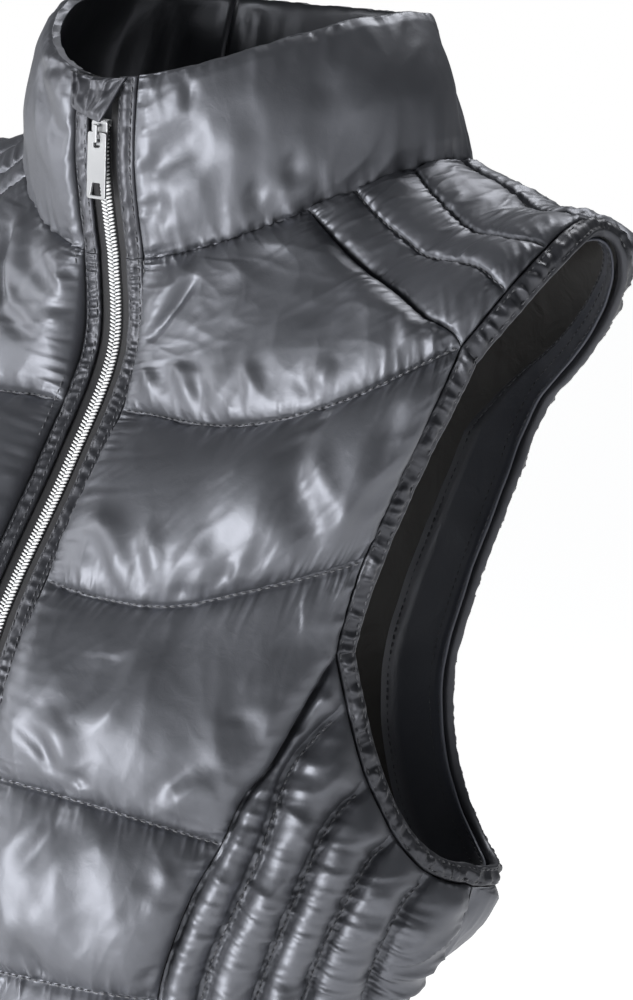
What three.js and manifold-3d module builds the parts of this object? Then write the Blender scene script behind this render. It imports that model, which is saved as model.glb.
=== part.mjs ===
// Quilted vest with a stand collar and a front zip, held open as if worn.
// Millimetres. +X is the wearer's left, -Y is the front, +Z is up.
// The origin lies midway between the two high points of the shoulders.

import * as THREE from 'three';
import Module from 'manifold-3d';

// Wall of the cloth
const WALL_IN = 1.4;
const SEAM_OUT = 1.6;
const SEAM_GAP = 0.2;

// Height of the filling over a seam, one number for each kind of panel
const FRONT_PUFF = 12.5;
const BACK_PUFF = 10;
const SIDE_PUFF = 6.5;
const YOKE_PUFF = 3.2;
const COLLAR_PUFF = 3.4;

// Front closure, measured sideways from the middle of the zip
const CHAIN_HALF = 2.9;
const TAPE_INNER = 3.2;
const TAPE_OUTER = 14.6;
const STRIP_INNER = 7.4;
const STRIP_OUTER = 15.2;
const PANEL_START = 15.8;
const ZIP_TOP = 9.655;

// Armhole trim
const BAND_WIDTH = 8;
const FACING_DEPTH = 15;
const BACK_FACING_EXTRA = 0.5;

// Pull tab of the zip
const TAB_WIDTH = 9.6;
const TAB_LENGTH = 26;
const TAB_THICK = 1;

// Cross rings of the body from the hem up to the neck seam.
// side z, half width front, half width back, side y, front z, front y, back z, back y,
// roundness front, roundness back
const BODY_RINGS = [
  [-620, 168, 168, -8, -620, -132, -620, 74, 0.86, 0.80],
  [-545, 162, 162, -12, -545, -131, -545, 64, 0.86, 0.80],
  [-475, 141, 141, -17, -475, -128, -475, 48, 0.88, 0.80],
  [-405, 123, 119, -20, -405, -125, -405, 34, 0.90, 0.90],
  [-330, 126, 119, -20, -330, -135, -320, 30, 0.92, 0.92],
  [-277, 144, 148, -15, -250, -143, -268, 32, 0.94, 0.60],
  [-187, 137, 131, -14, -192, -132, -186, 28, 0.90, 0.60],
  [-34, 172, 174, 2, -130, -99, -95, 54, 0.80, 0.78],
  [-14, 134, 136, 8, -84, -78, -55, 58, 0.88, 0.82],
  [0, 96, 96, 6, -46, -82, -12, 50, 1.0, 1.0],
];

// Rings of the collar: neck seam, middle and top edge, same columns
const COLLAR_RINGS = [
  [0, 96, 96, 6, -46, -82, -12, 50, 1.0, 1.0],
  [32, 92, 81, 4, -10, -92, 26, 38, 1.0, 1.0],
  [58, 76, 72, 0, 24, -95, 58, 37, 1.0, 1.0],
];
const NECK = BODY_RINGS.length - 1;

// Seams as points (angle in degrees round the body from the front, ring number)
const YOKE_SEAM = [[48, 9], [48, 8.35], [50, 7.88], [52.5, 7.27], [60.5, 6.93]];
const ARM_FRONT = [[60.5, 6.05], [59.3, 6.25], [58.6, 6.45], [58.6, 6.65], [60.5, 6.93]];
const ARM_TOP = [
  [60.5, 6.93], [68, 7.07], [77, 7.22], [84, 7.35], [90, 7.44], [97, 7.38], [106, 7.2],
];
const ARM_BACK = [
  [92.5, 5.03], [106, 5], [119, 5], [130, 5.05], [138, 5.16], [142.5, 5.3], [144, 5.5],
  [142, 5.8], [139.5, 6.08], [140.2, 6.3], [141.5, 6.52], [142.5, 6.7], [140, 6.86],
  [131, 6.95], [121.5, 7.04], [113.5, 7.12], [106, 7.2],
];
// Points of the back edge at which the back's channel seams meet it, from the lowest up
const BACK_MEETS = [0, 4, 9, 12, 16];
const ARM_BOTTOM = [
  [60.5, 6.05], [65, 5.85], [70, 5.54], [75, 5.3], [80, 5.17], [86, 5.09], [92.5, 5.03],
];

// Channel seams of the side panel as (ring number, angle), from the princess seam back
const SIDE_RAILS = [
  [[0, 37], [1, 37], [2, 37.5], [3, 38], [4.17, 38], [4.45, 39], [4.8, 41], [5.08, 44],
    [5.35, 47], [5.58, 52], [5.92, 58], [6.05, 60.5]],
  [[0, 46], [1, 46], [2, 46], [3, 46], [4.22, 46], [4.45, 46.5], [4.75, 48], [5.03, 50],
    [5.37, 53], [5.58, 56], [5.72, 60], [5.85, 65]],
  [[0, 57], [1, 57], [2, 56.5], [3, 56], [4.27, 56], [4.63, 56.5], [4.9, 57.5], [5.18, 60],
    [5.38, 64], [5.54, 70]],
  [[0, 68], [1, 68], [2, 67.5], [3, 66.5], [4.4, 65], [4.68, 65], [4.93, 66.5], [5.17, 70],
    [5.3, 75]],
  [[0, 80], [1, 80], [2, 79.5], [3, 78.5], [4.3, 77.5], [4.55, 76.5], [4.78, 76.5],
    [4.98, 78.5], [5.12, 83]],
  [[0, 92.5], [2, 92.5], [4, 92.5], [5.03, 92.5]],
];

// Channel seams of the yoke as (share of the way from the neck to the armhole, angle)
const YOKE_RAILS = [
  [[0, 48], [0.314, 48], [0.541, 50], [0.836, 52.5], [1, 60.5]],
  [[0, 59], [0.28, 58], [0.61, 60], [0.92, 65], [1, 68]],
  [[0, 75], [0.4, 70.5], [0.85, 71.5], [1, 77]],
  [[0, 90], [0.35, 89], [0.8, 87.5], [1, 90]],
  [[0, 106], [0.5, 105], [1, 106]],
];

// Ring number of each cross seam at the middle, and its course over a front panel
const ROWS = [0, 1.02, 2.05, 3.08, 4.12, 5.08, 6.28, 7.5, 9];
const BACK_ROWS = [0, 1.02, 2.05, 3.08, 4.12, 5.2, 6.28, 7.5, 9];
const SECOND_SEAM = [[0, 6.34], [0.16, 6.28], [0.4, 6.24], [0.63, 6.28], [1, 6.32]];
const FIRST_SEAM = [[0, 7.5], [0.1, 7.47], [0.28, 7.33], [0.45, 7.2], [0.72, 7.02], [1, 6.93]];

const DEG = Math.PI / 180;

// Vectors as plain arrays

function add(a, b, k = 1) {
  return [a[0] + b[0] * k, a[1] + b[1] * k, a[2] + b[2] * k];
}

function dot(a, b) {
  return a[0] * b[0] + a[1] * b[1] + a[2] * b[2];
}

function cross(a, b) {
  return [
    a[1] * b[2] - a[2] * b[1],
    a[2] * b[0] - a[0] * b[2],
    a[0] * b[1] - a[1] * b[0],
  ];
}

function unit(a) {
  return add([0, 0, 0], a, 1 / Math.hypot(...a));
}

function lerp(a, b, k) {
  return a + (b - a) * k;
}

// Smooth curves

function catmull(rows, t) {
  const k = Math.max(0, Math.min(rows.length - 2, Math.floor(t)));
  const u = t - k;
  const p0 = rows[Math.max(0, k - 1)];
  const p1 = rows[k];
  const p2 = rows[k + 1];
  const p3 = rows[Math.min(rows.length - 1, k + 2)];
  const a = 2 * u ** 3 - 3 * u ** 2 + 1;
  const b = u ** 3 - 2 * u ** 2 + u;
  const c = -2 * u ** 3 + 3 * u ** 2;
  const d = u ** 3 - u ** 2;
  return p1.map((v, i) => a * v + b * (p2[i] - p0[i]) / 2 + c * p2[i] + d * (p3[i] - v) / 2);
}

// Value at x of a table of (x, value) rows, with matched slopes at its points
function smooth(table, x) {
  let k = 0;
  while (k < table.length - 2 && x > table[k + 1][0]) k += 1;
  const slope = (i) => {
    const lo = table[Math.max(0, i - 1)];
    const hi = table[Math.min(table.length - 1, i + 1)];
    return (hi[1] - lo[1]) / (hi[0] - lo[0]);
  };
  const [x1, y1] = table[k];
  const [x2, y2] = table[k + 1];
  const h = x2 - x1;
  const u = (x - x1) / h;
  if (u < 0) return y1 + slope(k) * (x - x1);
  if (u > 1) return y2 + slope(k + 1) * (x - x2);
  return (2 * u ** 3 - 3 * u ** 2 + 1) * y1 + (u ** 3 - 2 * u ** 2 + u) * h * slope(k)
    + (-2 * u ** 3 + 3 * u ** 2) * y2 + (u ** 3 - u ** 2) * h * slope(k + 1);
}

// The seam surface: ring number up to 9 is the body, 9 to 10 is the collar

function ringPoint(q, phi) {
  const [zs, af, ab, ys, zf, yf, zb, yb, pf, pb] = q;
  const c = Math.cos(phi * DEG);
  const s = Math.sin(phi * DEG);
  const mix = Math.sin(Math.PI / 2 * Math.max(-1, Math.min(1, c / 0.3)));
  const a = (af + ab) / 2 + (af - ab) / 2 * mix;
  const p = (pf + pb) / 2 + (pf - pb) / 2 * mix;
  const w = Math.abs(c) ** p;
  const x = a * Math.sign(s) * Math.abs(s) ** p;
  const y = c >= 0 ? ys + (yf - ys) * w : ys + (yb - ys) * w;
  const z = c >= 0 ? zs + (zf - zs) * c * c : zs + (zb - zs) * c * c;
  return [x, y, z];
}

function ringAt(t) {
  return t <= NECK ? catmull(BODY_RINGS, Math.max(0, t)) : catmull(COLLAR_RINGS, (t - NECK) * 2);
}

function surface(phi, t) {
  return ringPoint(ringAt(t), phi);
}

function slopes(phi, t, side) {
  const lo = side < 0 ? t - 0.02 : side > 0 ? t : Math.max(0, t - 0.01);
  const hi = side < 0 ? t : side > 0 ? t + 0.02 : Math.min(10, t + 0.01);
  const across = add(surface(phi + 0.5, t), surface(phi - 0.5, t), -1);
  const up = add(surface(phi, hi), surface(phi, lo), -1).map((v) => v / (hi - lo));
  return { across, up };
}

function normal(phi, t, side = 0) {
  const { across, up } = slopes(phi, t, side);
  return unit(cross(across, up));
}

// Direction along which a wall is built; on the neck seam it halves the two walls
function wallVector(phi, t) {
  if (Math.abs(t - NECK) > 1e-6) {
    if (t > NECK && t < NECK + 0.02) return normal(phi, t, 1);
    if (t < NECK && t > NECK - 0.02) return normal(phi, t, -1);
    return normal(phi, t);
  }
  const low = normal(phi, t, -1);
  const high = normal(phi, t + 1e-5, 1);
  return add([0, 0, 0], add(low, high), 1 / (1 + dot(low, high)));
}

// Angle at which the body is x wide, for the narrow pieces beside the zip
function angleAtWidth(x, t) {
  const q = ringAt(t);
  const s = (Math.abs(x) / q[1]) ** (1 / q[8]);
  return Math.sign(x) * Math.asin(s) / DEG;
}

// Points of a curve in (angle, ring number), evenly dense, with their lengths in space
const TRACE_STEPS = 24;

function trace(points) {
  const flat = [];
  const total = (points.length - 1) * TRACE_STEPS;
  for (let i = 0; i <= total; i += 1) flat.push(catmull(points, i / TRACE_STEPS));
  const long = [0];
  for (let i = 1; i <= total; i += 1) {
    const gap = add(surface(...flat[i]), surface(...flat[i - 1]), -1);
    long.push(long[i - 1] + Math.hypot(...gap));
  }
  return { flat, long, length: long[total] };
}

function along(curve, share) {
  const want = share * curve.length;
  let k = 0;
  while (k < curve.long.length - 2 && curve.long[k + 1] < want) k += 1;
  const u = (want - curve.long[k]) / (curve.long[k + 1] - curve.long[k]);
  return [0, 1].map((c) => lerp(curve.flat[k][c], curve.flat[k + 1][c], u));
}

function shareAt(curve, column, value) {
  let best = 0;
  for (let i = 0; i < curve.flat.length; i += 1) {
    const gap = Math.abs(curve.flat[i][column] - value);
    if (gap < Math.abs(curve.flat[best][column] - value)) best = i;
  }
  return curve.long[best] / curve.length;
}

// Height of the filling across a channel, fuller toward its lower edge
function puff(v, fullness = 0.75) {
  const w = Math.max(0, Math.min(1, v)) ** 0.86;
  return Math.sin(Math.PI * w) ** fullness;
}

function edgeFade(distance, reach) {
  const k = Math.max(0, Math.min(1, distance / reach));
  return Math.sqrt(1 - (1 - k) ** 2);
}

// Solids

function solid(name, points, faces, color) {
  let volume = 0;
  for (const [a, b, c] of faces) volume += dot(points[a], cross(points[b], points[c]));
  const index = volume < 0 ? faces.flatMap(([a, b, c]) => [a, c, b]) : faces.flat();
  const geometry = new THREE.BufferGeometry();
  geometry.setAttribute('position', new THREE.Float32BufferAttribute(points.flat(), 3));
  geometry.setIndex(index);
  geometry.computeVertexNormals();
  const material = new THREE.MeshStandardMaterial({ color, roughness: 0.5 });
  const mesh = new THREE.Mesh(geometry, material);
  mesh.name = name;
  return mesh;
}

// Triangles between two rows of points that share numbered places
function zipper(outer, inner, faces) {
  let a = 0;
  let b = 0;
  while (a < outer.length - 1 || b < inner.length - 1) {
    const moveOuter = b === inner.length - 1
      || (a < outer.length - 1 && outer[a + 1].key <= inner[b + 1].key);
    if (moveOuter) {
      faces.push([outer[a].id, outer[a + 1].id, inner[b].id]);
      a += 1;
    } else {
      faces.push([outer[a].id, inner[b + 1].id, inner[b].id]);
      b += 1;
    }
  }
}

// A panel over a grid of {phi, t, high, low}: raised outside, plain and coarse inside
function panel(name, grid, color, coarse) {
  const nu = grid.length - 1;
  const nv = grid[0].length - 1;
  const base = grid.map((col) => col.map((g) => surface(g.phi, g.t)));
  const set = base.map((col) => col.map((p) => p.slice()));
  const pull = (i, j, di, dj) => {
    const to = add(base[i + di][j + dj], base[i][j], -1);
    const back = dj ? base[Math.max(0, i - 1)][j] : base[i][Math.max(0, j - 1)];
    const fore = dj ? base[Math.min(nu, i + 1)][j] : base[i][Math.min(nv, j + 1)];
    const run = unit(add(fore, back, -1));
    const side = unit(add(to, run, -dot(to, run)));
    set[i][j] = add(set[i][j], side, SEAM_GAP);
  };
  for (let j = 0; j <= nv; j += 1) {
    pull(0, j, 1, 0);
    pull(nu, j, -1, 0);
  }
  for (let i = 0; i <= nu; i += 1) {
    pull(i, 0, 0, 1);
    pull(i, nv, 0, -1);
  }
  const points = [];
  const put = (i, j, high) => {
    const g = grid[i][j];
    points.push(add(set[i][j], wallVector(g.phi, g.t), high));
    return points.length - 1;
  };
  const faces = [];
  const outer = grid.map((col, i) => col.map((g, j) => put(i, j, g.high)));
  const rim = new Map();
  const lowAt = (i, j) => (grid[i][j].low === undefined ? -WALL_IN : grid[i][j].low);
  const onRim = (i, j) => {
    const key = i * 1000 + j;
    if (!rim.has(key)) rim.set(key, put(i, j, lowAt(i, j)));
    return rim.get(key);
  };
  const quad = (a, b, c, d) => {
    faces.push([a, b, c]);
    faces.push([a, c, d]);
  };
  for (let i = 0; i < nu; i += 1) {
    for (let j = 0; j < nv; j += 1) {
      quad(outer[i][j], outer[i + 1][j], outer[i + 1][j + 1], outer[i][j + 1]);
    }
  }
  const loop = [];
  for (let i = 0; i < nu; i += 1) loop.push([i, 0]);
  for (let j = 0; j < nv; j += 1) loop.push([nu, j]);
  for (let i = nu; i > 0; i -= 1) loop.push([i, nv]);
  for (let j = nv; j > 0; j -= 1) loop.push([0, j]);
  loop.forEach(([i, j], k) => {
    const [m, n] = loop[(k + 1) % loop.length];
    quad(outer[m][n], outer[i][j], onRim(i, j), onRim(m, n));
  });
  const stepI = coarse[0];
  const stepJ = coarse[1];
  const pick = (count, step) => {
    const list = [1];
    for (let k = 1 + step; k < count - 1; k += step) list.push(k);
    if (count - 1 > list[list.length - 1]) list.push(count - 1);
    return list;
  };
  const ci = Array.isArray(stepI) ? stepI : pick(nu, stepI);
  const cj = Array.isArray(stepJ) ? stepJ : pick(nv, stepJ);
  const inside = ci.map((i) => cj.map((j) => put(i, j, lowAt(i, j))));
  const back = [];
  for (let a = 0; a < ci.length - 1; a += 1) {
    for (let b = 0; b < cj.length - 1; b += 1) {
      back.push([inside[a][b], inside[a + 1][b], inside[a + 1][b + 1]]);
      back.push([inside[a][b], inside[a + 1][b + 1], inside[a][b + 1]]);
    }
  }
  const row = (count, at) => Array.from({ length: count + 1 }, (_, k) => at(k));
  const lastI = ci.length - 1;
  const lastJ = cj.length - 1;
  zipper(row(nu, (i) => ({ key: i, id: onRim(i, 0) })),
    ci.map((i, a) => ({ key: i, id: inside[a][0] })), back);
  zipper(row(nv, (j) => ({ key: j, id: onRim(nu, j) })),
    cj.map((j, b) => ({ key: j, id: inside[lastI][b] })), back);
  zipper(row(nu, (i) => ({ key: i, id: onRim(nu - i, nv) })),
    ci.map((i, a) => ({ key: nu - ci[lastI - a], id: inside[lastI - a][lastJ] })), back);
  zipper(row(nv, (j) => ({ key: j, id: onRim(0, nv - j) })),
    cj.map((j, b) => ({ key: nv - cj[lastJ - b], id: inside[0][lastJ - b] })), back);
  for (const [a, b, c] of back) faces.push([a, c, b]);
  return solid(name, points, faces, color);
}

// A strip swept along stations; each station gives the points of a closed section
function sweep(name, stations, closed, color) {
  const n = stations[0].length;
  const points = stations.flat();
  const faces = [];
  const count = stations.length;
  for (let k = 0; k < (closed ? count : count - 1); k += 1) {
    for (let c = 0; c < n; c += 1) {
      const a = k * n + c;
      const b = k * n + (c + 1) % n;
      const d = ((k + 1) % count) * n + c;
      const e = ((k + 1) % count) * n + (c + 1) % n;
      faces.push([a, b, e]);
      faces.push([a, e, d]);
    }
  }
  if (!closed) {
    for (let c = 1; c < n - 1; c += 1) {
      faces.push([0, c + 1, c]);
      faces.push([(count - 1) * n, (count - 1) * n + c, (count - 1) * n + c + 1]);
    }
  }
  return solid(name, points, faces, color);
}

function mirrored(mesh, name) {
  const flat = Array.from(mesh.geometry.attributes.position.array);
  const points = [];
  for (let i = 0; i < flat.length; i += 3) points.push([-flat[i], flat[i + 1], flat[i + 2]]);
  const index = Array.from(mesh.geometry.index.array);
  const faces = [];
  for (let i = 0; i < index.length; i += 3) faces.push(index.slice(i, i + 3));
  return solid(name, points, faces, mesh.material.color.getHex());
}

// Colours
const SHELL = 0x5c5e63;
const SHELL_DARK = 0x4c4e53;
const FACING = 0x1d2027;
const TAPE = 0x17181b;
const METAL = 0xb9bcc0;

// Sample places across a row and across a panel
const ROW_STEPS = [0, 0.08, 0.25, 0.5, 0.76, 0.93];
const TOP_STEPS = [0, 0.06, 0.17, 0.34, 0.55, 0.75, 0.9];
const CORNER_SHARE = (6.05 - ROWS[5]) / (6.32 - ROWS[5]);
const CORNER_STEPS = [0, 0.07, 0.22, 0.42, 0.61, CORNER_SHARE, 0.92];
const FRONT_STEPS = [0, 0.025, 0.07, 0.15, 0.27, 0.4, 0.53, 0.66, 0.78, 0.88, 0.95, 0.985, 1];

const armFront = trace(ARM_FRONT);
const armTop = trace(ARM_TOP);
const armBack = trace(ARM_BACK);
const armBottom = trace(ARM_BOTTOM);

function frontEdge(t) {
  if (t <= 6.05) return smooth(SIDE_RAILS[0], t);
  if (t >= 6.93) return smooth(YOKE_SEAM.map(([phi, ring]) => [ring, phi]).reverse(), t);
  return smooth(ARM_FRONT.map(([phi, ring]) => [ring, phi]), t);
}

function rowHeights(steps) {
  return ROWS.slice(0, -1).flatMap((_, row) => {
    const list = steps(row);
    return list.map((v) => ({ row, v }));
  }).concat([{ row: ROWS.length - 2, v: 1 }]);
}

const frontRows = rowHeights((row) => (row === 7 ? TOP_STEPS : row === 5 ? CORNER_STEPS : ROW_STEPS));

// Rows of the plain inner face: few below the armhole, more where the body bends
function insideRows(rows, every = [3, 3, 3, 3, 3, 2, 2, 2]) {
  const list = [1];
  for (let j = 2; j < rows.length - 1; j += 1) {
    if (j - list[list.length - 1] >= every[rows[j].row]) list.push(j);
  }
  if (list[list.length - 1] !== rows.length - 2) list.push(rows.length - 2);
  return list;
}

function crossSeam(row, u) {
  if (row === 6) return smooth(SECOND_SEAM, u);
  if (row === 7) return smooth(FIRST_SEAM, u);
  return ROWS[row];
}

function frontPanel() {
  const grid = FRONT_STEPS.map((u) => frontRows.map(({ row, v }) => {
    const t = lerp(crossSeam(row, u), crossSeam(row + 1, u), v);
    const start = angleAtWidth(PANEL_START, t);
    const phi = lerp(start, frontEdge(t), u);
    const wide = (frontEdge(t) - start) * 2.2;
    const fade = edgeFade(u * wide, 14) * edgeFade((1 - u) * wide, 22);
    return { phi, t, high: SEAM_OUT + FRONT_PUFF * puff(v) * fade };
  }));
  return panel('front_left', grid, SHELL, [2, insideRows(frontRows)]);
}

function sidePanel() {
  const heights = frontRows.map(({ row, v }) => lerp(ROWS[row], row === 5 ? 6.32 : ROWS[row + 1], v))
    .filter((t) => t < 6.051);
  const cuts = SIDE_RAILS.map((rail) => shareAt(armBottom, 0, rail[rail.length - 1][1]));
  const grid = [];
  for (let k = 0; k < 5; k += 1) {
    const steps = k === 4 ? [0, 0.17, 0.5, 0.83, 1] : [0, 0.17, 0.5, 0.83];
    for (const a of steps) {
      const [phiTop, tTop] = along(armBottom, lerp(cuts[k], cuts[k + 1], a));
      const course = (t) => lerp(smooth(SIDE_RAILS[k], t), smooth(SIDE_RAILS[k + 1], t), a);
      const offset = phiTop - course(tTop);
      grid.push(heights.map((height) => {
        const t = tTop * height / 6.05;
        const share = height / 6.05;
        const phi = course(t) + offset * share ** 8;
        const room = Math.min(1, (smooth(SIDE_RAILS[k + 1], t) - smooth(SIDE_RAILS[k], t)) / 9);
        const fade = edgeFade((1 - share) * 330, 14) * edgeFade(share * 330, 8) * room;
        return { phi, t, high: SEAM_OUT + SIDE_PUFF * puff(a, 0.7) * fade };
      }));
    }
  }
  const lower = frontRows.slice(0, heights.length);
  return panel('side_left', grid, SHELL, [4, insideRows(lower)]);
}

// Places along the seam between yoke and back, from the armhole to the neck
const SHOULDER_STEPS = TOP_STEPS.concat([1]);
const BLADE_SHARE = 0.4;

function yokePanel() {
  const ends = [0, shareAt(armTop, 0, 68), shareAt(armTop, 0, 77), shareAt(armTop, 0, 90), 1];
  const grid = [];
  for (let k = 0; k < 4; k += 1) {
    const steps = k === 3 ? [0, 0.16, 0.5, 0.84, 1] : [0, 0.16, 0.5, 0.84];
    for (const a of steps) {
      const [phiArm, tArm] = along(armTop, lerp(ends[k], ends[k + 1], a));
      const course = (w) => lerp(smooth(YOKE_RAILS[k], w), smooth(YOKE_RAILS[k + 1], w), a);
      grid.push(SHOULDER_STEPS.map((v) => {
        const w = 1 - v;
        const t = lerp(NECK, tArm, w);
        const seam = k === 0 && a === 0 ? frontEdge(t) : course(w) + (phiArm - course(1)) * w ** 6;
        const fade = edgeFade(w * 95, 10) * edgeFade(v * 95, 10);
        return { phi: seam, t, high: SEAM_OUT + YOKE_PUFF * puff(a, 0.7) * fade };
      }));
    }
  }
  return panel('yoke_left', grid, SHELL, [2, 1]);
}

// Edge of the back from the hem up the side seam, round the armhole and up the yoke
const BACK_STEPS = [
  ROW_STEPS, ROW_STEPS, ROW_STEPS, ROW_STEPS,
  [0, 0.1, 0.24, 0.38, 0.5, 0.57, 0.65, 0.73, 0.81, 0.89, 0.95],
  [0, 0.1, 0.2, 0.31, 0.42, 0.54, 0.66, 0.78, 0.9],
  ROW_STEPS,
  [0, 0.1, 0.2, 0.3].concat(SHOULDER_STEPS.slice(0, -1).map((v) => lerp(BLADE_SHARE, 1, v))),
];
const SIDE_SEAM_SHARE = 0.5;

function backMeet(k) {
  const point = BACK_MEETS[k] * TRACE_STEPS;
  return armBack.long[point] / armBack.length;
}

function backEdge(row, v) {
  if (row < 4) return [92.5, lerp(BACK_ROWS[row], BACK_ROWS[row + 1], v)];
  if (row === 4 && v <= SIDE_SEAM_SHARE) {
    return [92.5, lerp(BACK_ROWS[4], 5.03, v / SIDE_SEAM_SHARE)];
  }
  if (row === 4) {
    return along(armBack, lerp(0, backMeet(1), (v - SIDE_SEAM_SHARE) / (1 - SIDE_SEAM_SHARE)));
  }
  if (row < 7) return along(armBack, lerp(backMeet(row - 4), backMeet(row - 3), v));
  if (v <= BLADE_SHARE) return along(armBack, lerp(backMeet(3), 1, v / BLADE_SHARE));
  const w = (1 - v) / (1 - BLADE_SHARE);
  return [smooth(YOKE_RAILS[4], w), lerp(NECK, 7.2, w)];
}

// Distance over which the back's filling rises from the side seam, for each channel below
// the armhole
const BACK_RISE = [50, 50, 70, 110, 110];

function backFade(row, wide) {
  if (row >= BACK_RISE.length) return edgeFade(wide, 24);
  const k = Math.min(1, wide / BACK_RISE[row]);
  return k * k * (3 - 2 * k);
}

function backPanel() {
  const rows = rowHeights((row) => BACK_STEPS[row]);
  const half = [0, 0.02, 0.06, 0.13, 0.23, 0.35, 0.48, 0.61, 0.74, 0.87, 1];
  const left = half.map((u) => rows.map(({ row, v }) => {
    const [phiEdge, tEdge] = backEdge(row, v);
    const phi = lerp(phiEdge, 180, u);
    const t = lerp(tEdge, lerp(BACK_ROWS[row], BACK_ROWS[row + 1], v), u ** 0.8);
    const fade = backFade(row, u * (180 - phiEdge) * 2.1);
    return { phi, t, high: SEAM_OUT + BACK_PUFF * puff(v) * fade };
  }));
  const right = left.slice(0, -1).reverse()
    .map((col) => col.map((g) => ({ phi: 360 - g.phi, t: g.t, high: g.high })));
  const columns = [1, 3, 4, 5, 6, 8, 10, 12, 14, 15, 16, 17, 19];
  return panel('back', left.concat(right), SHELL,
    [columns, insideRows(rows, [3, 3, 3, 3, 2, 2, 2, 2])]);
}

// Collar: a padded wall with a rounded top edge, in three pieces
const COLLAR_STEPS = [0, 0.06, 0.2, 0.45, 0.7, 0.88, 0.97, 1];
const COLLAR_HIGH = [0, 0.34, 0.8, 1, 0.92, 0.7, 0.28, -0.12];

function collarPiece(name, columns, startsAtZip) {
  const grid = columns.map((u) => COLLAR_STEPS.map((v, j) => {
    const t = NECK + v * 0.998;
    const phi = startsAtZip ? lerp(angleAtWidth(PANEL_START, t), 143, u) : u;
    const reach = startsAtZip ? edgeFade(u * 210, 8) * edgeFade((1 - u) * 210, 7)
      : edgeFade((phi - 143) * 1.5, 7) * edgeFade((217 - phi) * 1.5, 7);
    const high = SEAM_OUT + COLLAR_PUFF * COLLAR_HIGH[j] * lerp(0.25, 1, reach);
    const low = j === COLLAR_STEPS.length - 1 ? -1.3 : -2.2 + (v < 0.01 ? 0.8 : 0);
    return { phi, t, high, low };
  }));
  return panel(name, grid, SHELL, [2, 2]);
}

// Front closure: strips, tapes and chain follow the middle of the front up the collar
const ZIP_HEIGHTS = [
  0.004, 0.35, 0.7, 1.05, 1.4, 1.75, 2.1, 2.45, 2.8, 3.15, 3.5, 3.8, 4.1, 4.35, 4.6, 4.8, 5,
  5.2, 5.4, 5.6, 5.8, 6, 6.2, 6.4, 6.6, 6.8, 7, 7.2, 7.4, 7.6, 7.8, 8, 8.2, 8.4, 8.6, 8.8, 9,
  9.15, 9.3, 9.45, 9.6, 9.8, 9.99,
];

function closureStrip(name, section, heights, color) {
  const stations = heights.map((t) => section.map(([x, high]) => {
    const phi = angleAtWidth(x, t);
    return add(surface(phi, t), wallVector(phi, t), high);
  }));
  return sweep(name, stations, false, color);
}

const STRIP_SECTION = [
  [STRIP_INNER, 0.1], [STRIP_INNER, 1.7], [10.6, 2.8], [STRIP_OUTER, 1.5], [STRIP_OUTER, 0.1],
];
const TAPE_SECTION = [
  [TAPE_INNER, -1.2], [TAPE_INNER, -0.3], [TAPE_OUTER, -0.3], [TAPE_OUTER, -1.2],
];
const CHAIN_SECTION = [
  [-CHAIN_HALF, -1.2], [-CHAIN_HALF, 1.1], [CHAIN_HALF, 1.1], [CHAIN_HALF, -1.2],
];

// Armhole loop from the panel edges that meet it, and strips that follow it

function armholeLoop(front, yoke, back, side) {
  return front.concat(yoke.slice(1), back.slice(1), side.slice(1, -1));
}

function loopPoint(loop, k, width, high) {
  const n = loop.length;
  const here = loop[k];
  const fore = surface(...loop[(k + 1) % n]);
  const aft = surface(...loop[(k + n - 1) % n]);
  const run = unit(add(fore, aft, -1));
  const { across, up } = slopes(here[0], here[1], 0);
  const inward = cross(run, unit(cross(across, up)));
  const aa = dot(across, across);
  const ab = dot(across, up);
  const bb = dot(up, up);
  const ra = dot(across, inward);
  const rb = dot(up, inward);
  const det = aa * bb - ab * ab;
  const phi = here[0] + width * (ra * bb - rb * ab) / det;
  const t = here[1] + width * (aa * rb - ab * ra) / det;
  return add(surface(phi, t), wallVector(phi, t), high);
}

const BAND_SECTION = [
  [0.35, -1.4], [0.35, 1.6], [2.4, 3.0], [5.8, 3.0], [BAND_WIDTH, 1.2], [BAND_WIDTH - 0.3, -1.4],
];
const FACING_SECTION = [
  [BAND_WIDTH - 0.6, -3], [-1, -4], [-FACING_DEPTH, -5],
  [-FACING_DEPTH, -6], [-1, -5], [BAND_WIDTH - 0.6, -4],
];

function loopStrip(name, loop, section, every, color) {
  const stations = [];
  for (let k = 0; k < loop.length; k += every) {
    const [phi, t] = loop[k];
    const deep = 1 + BACK_FACING_EXTRA * Math.max(0, Math.min(1, (phi - 128) / 10));
    const narrow = Math.max(0.3, Math.min(1, (7 - t) / 0.35)) * deep;
    stations.push(section.map(([width, high]) => (
      loopPoint(loop, k, width < -2 ? width * narrow : width, high))));
  }
  return sweep(name, stations, true, color);
}

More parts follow.
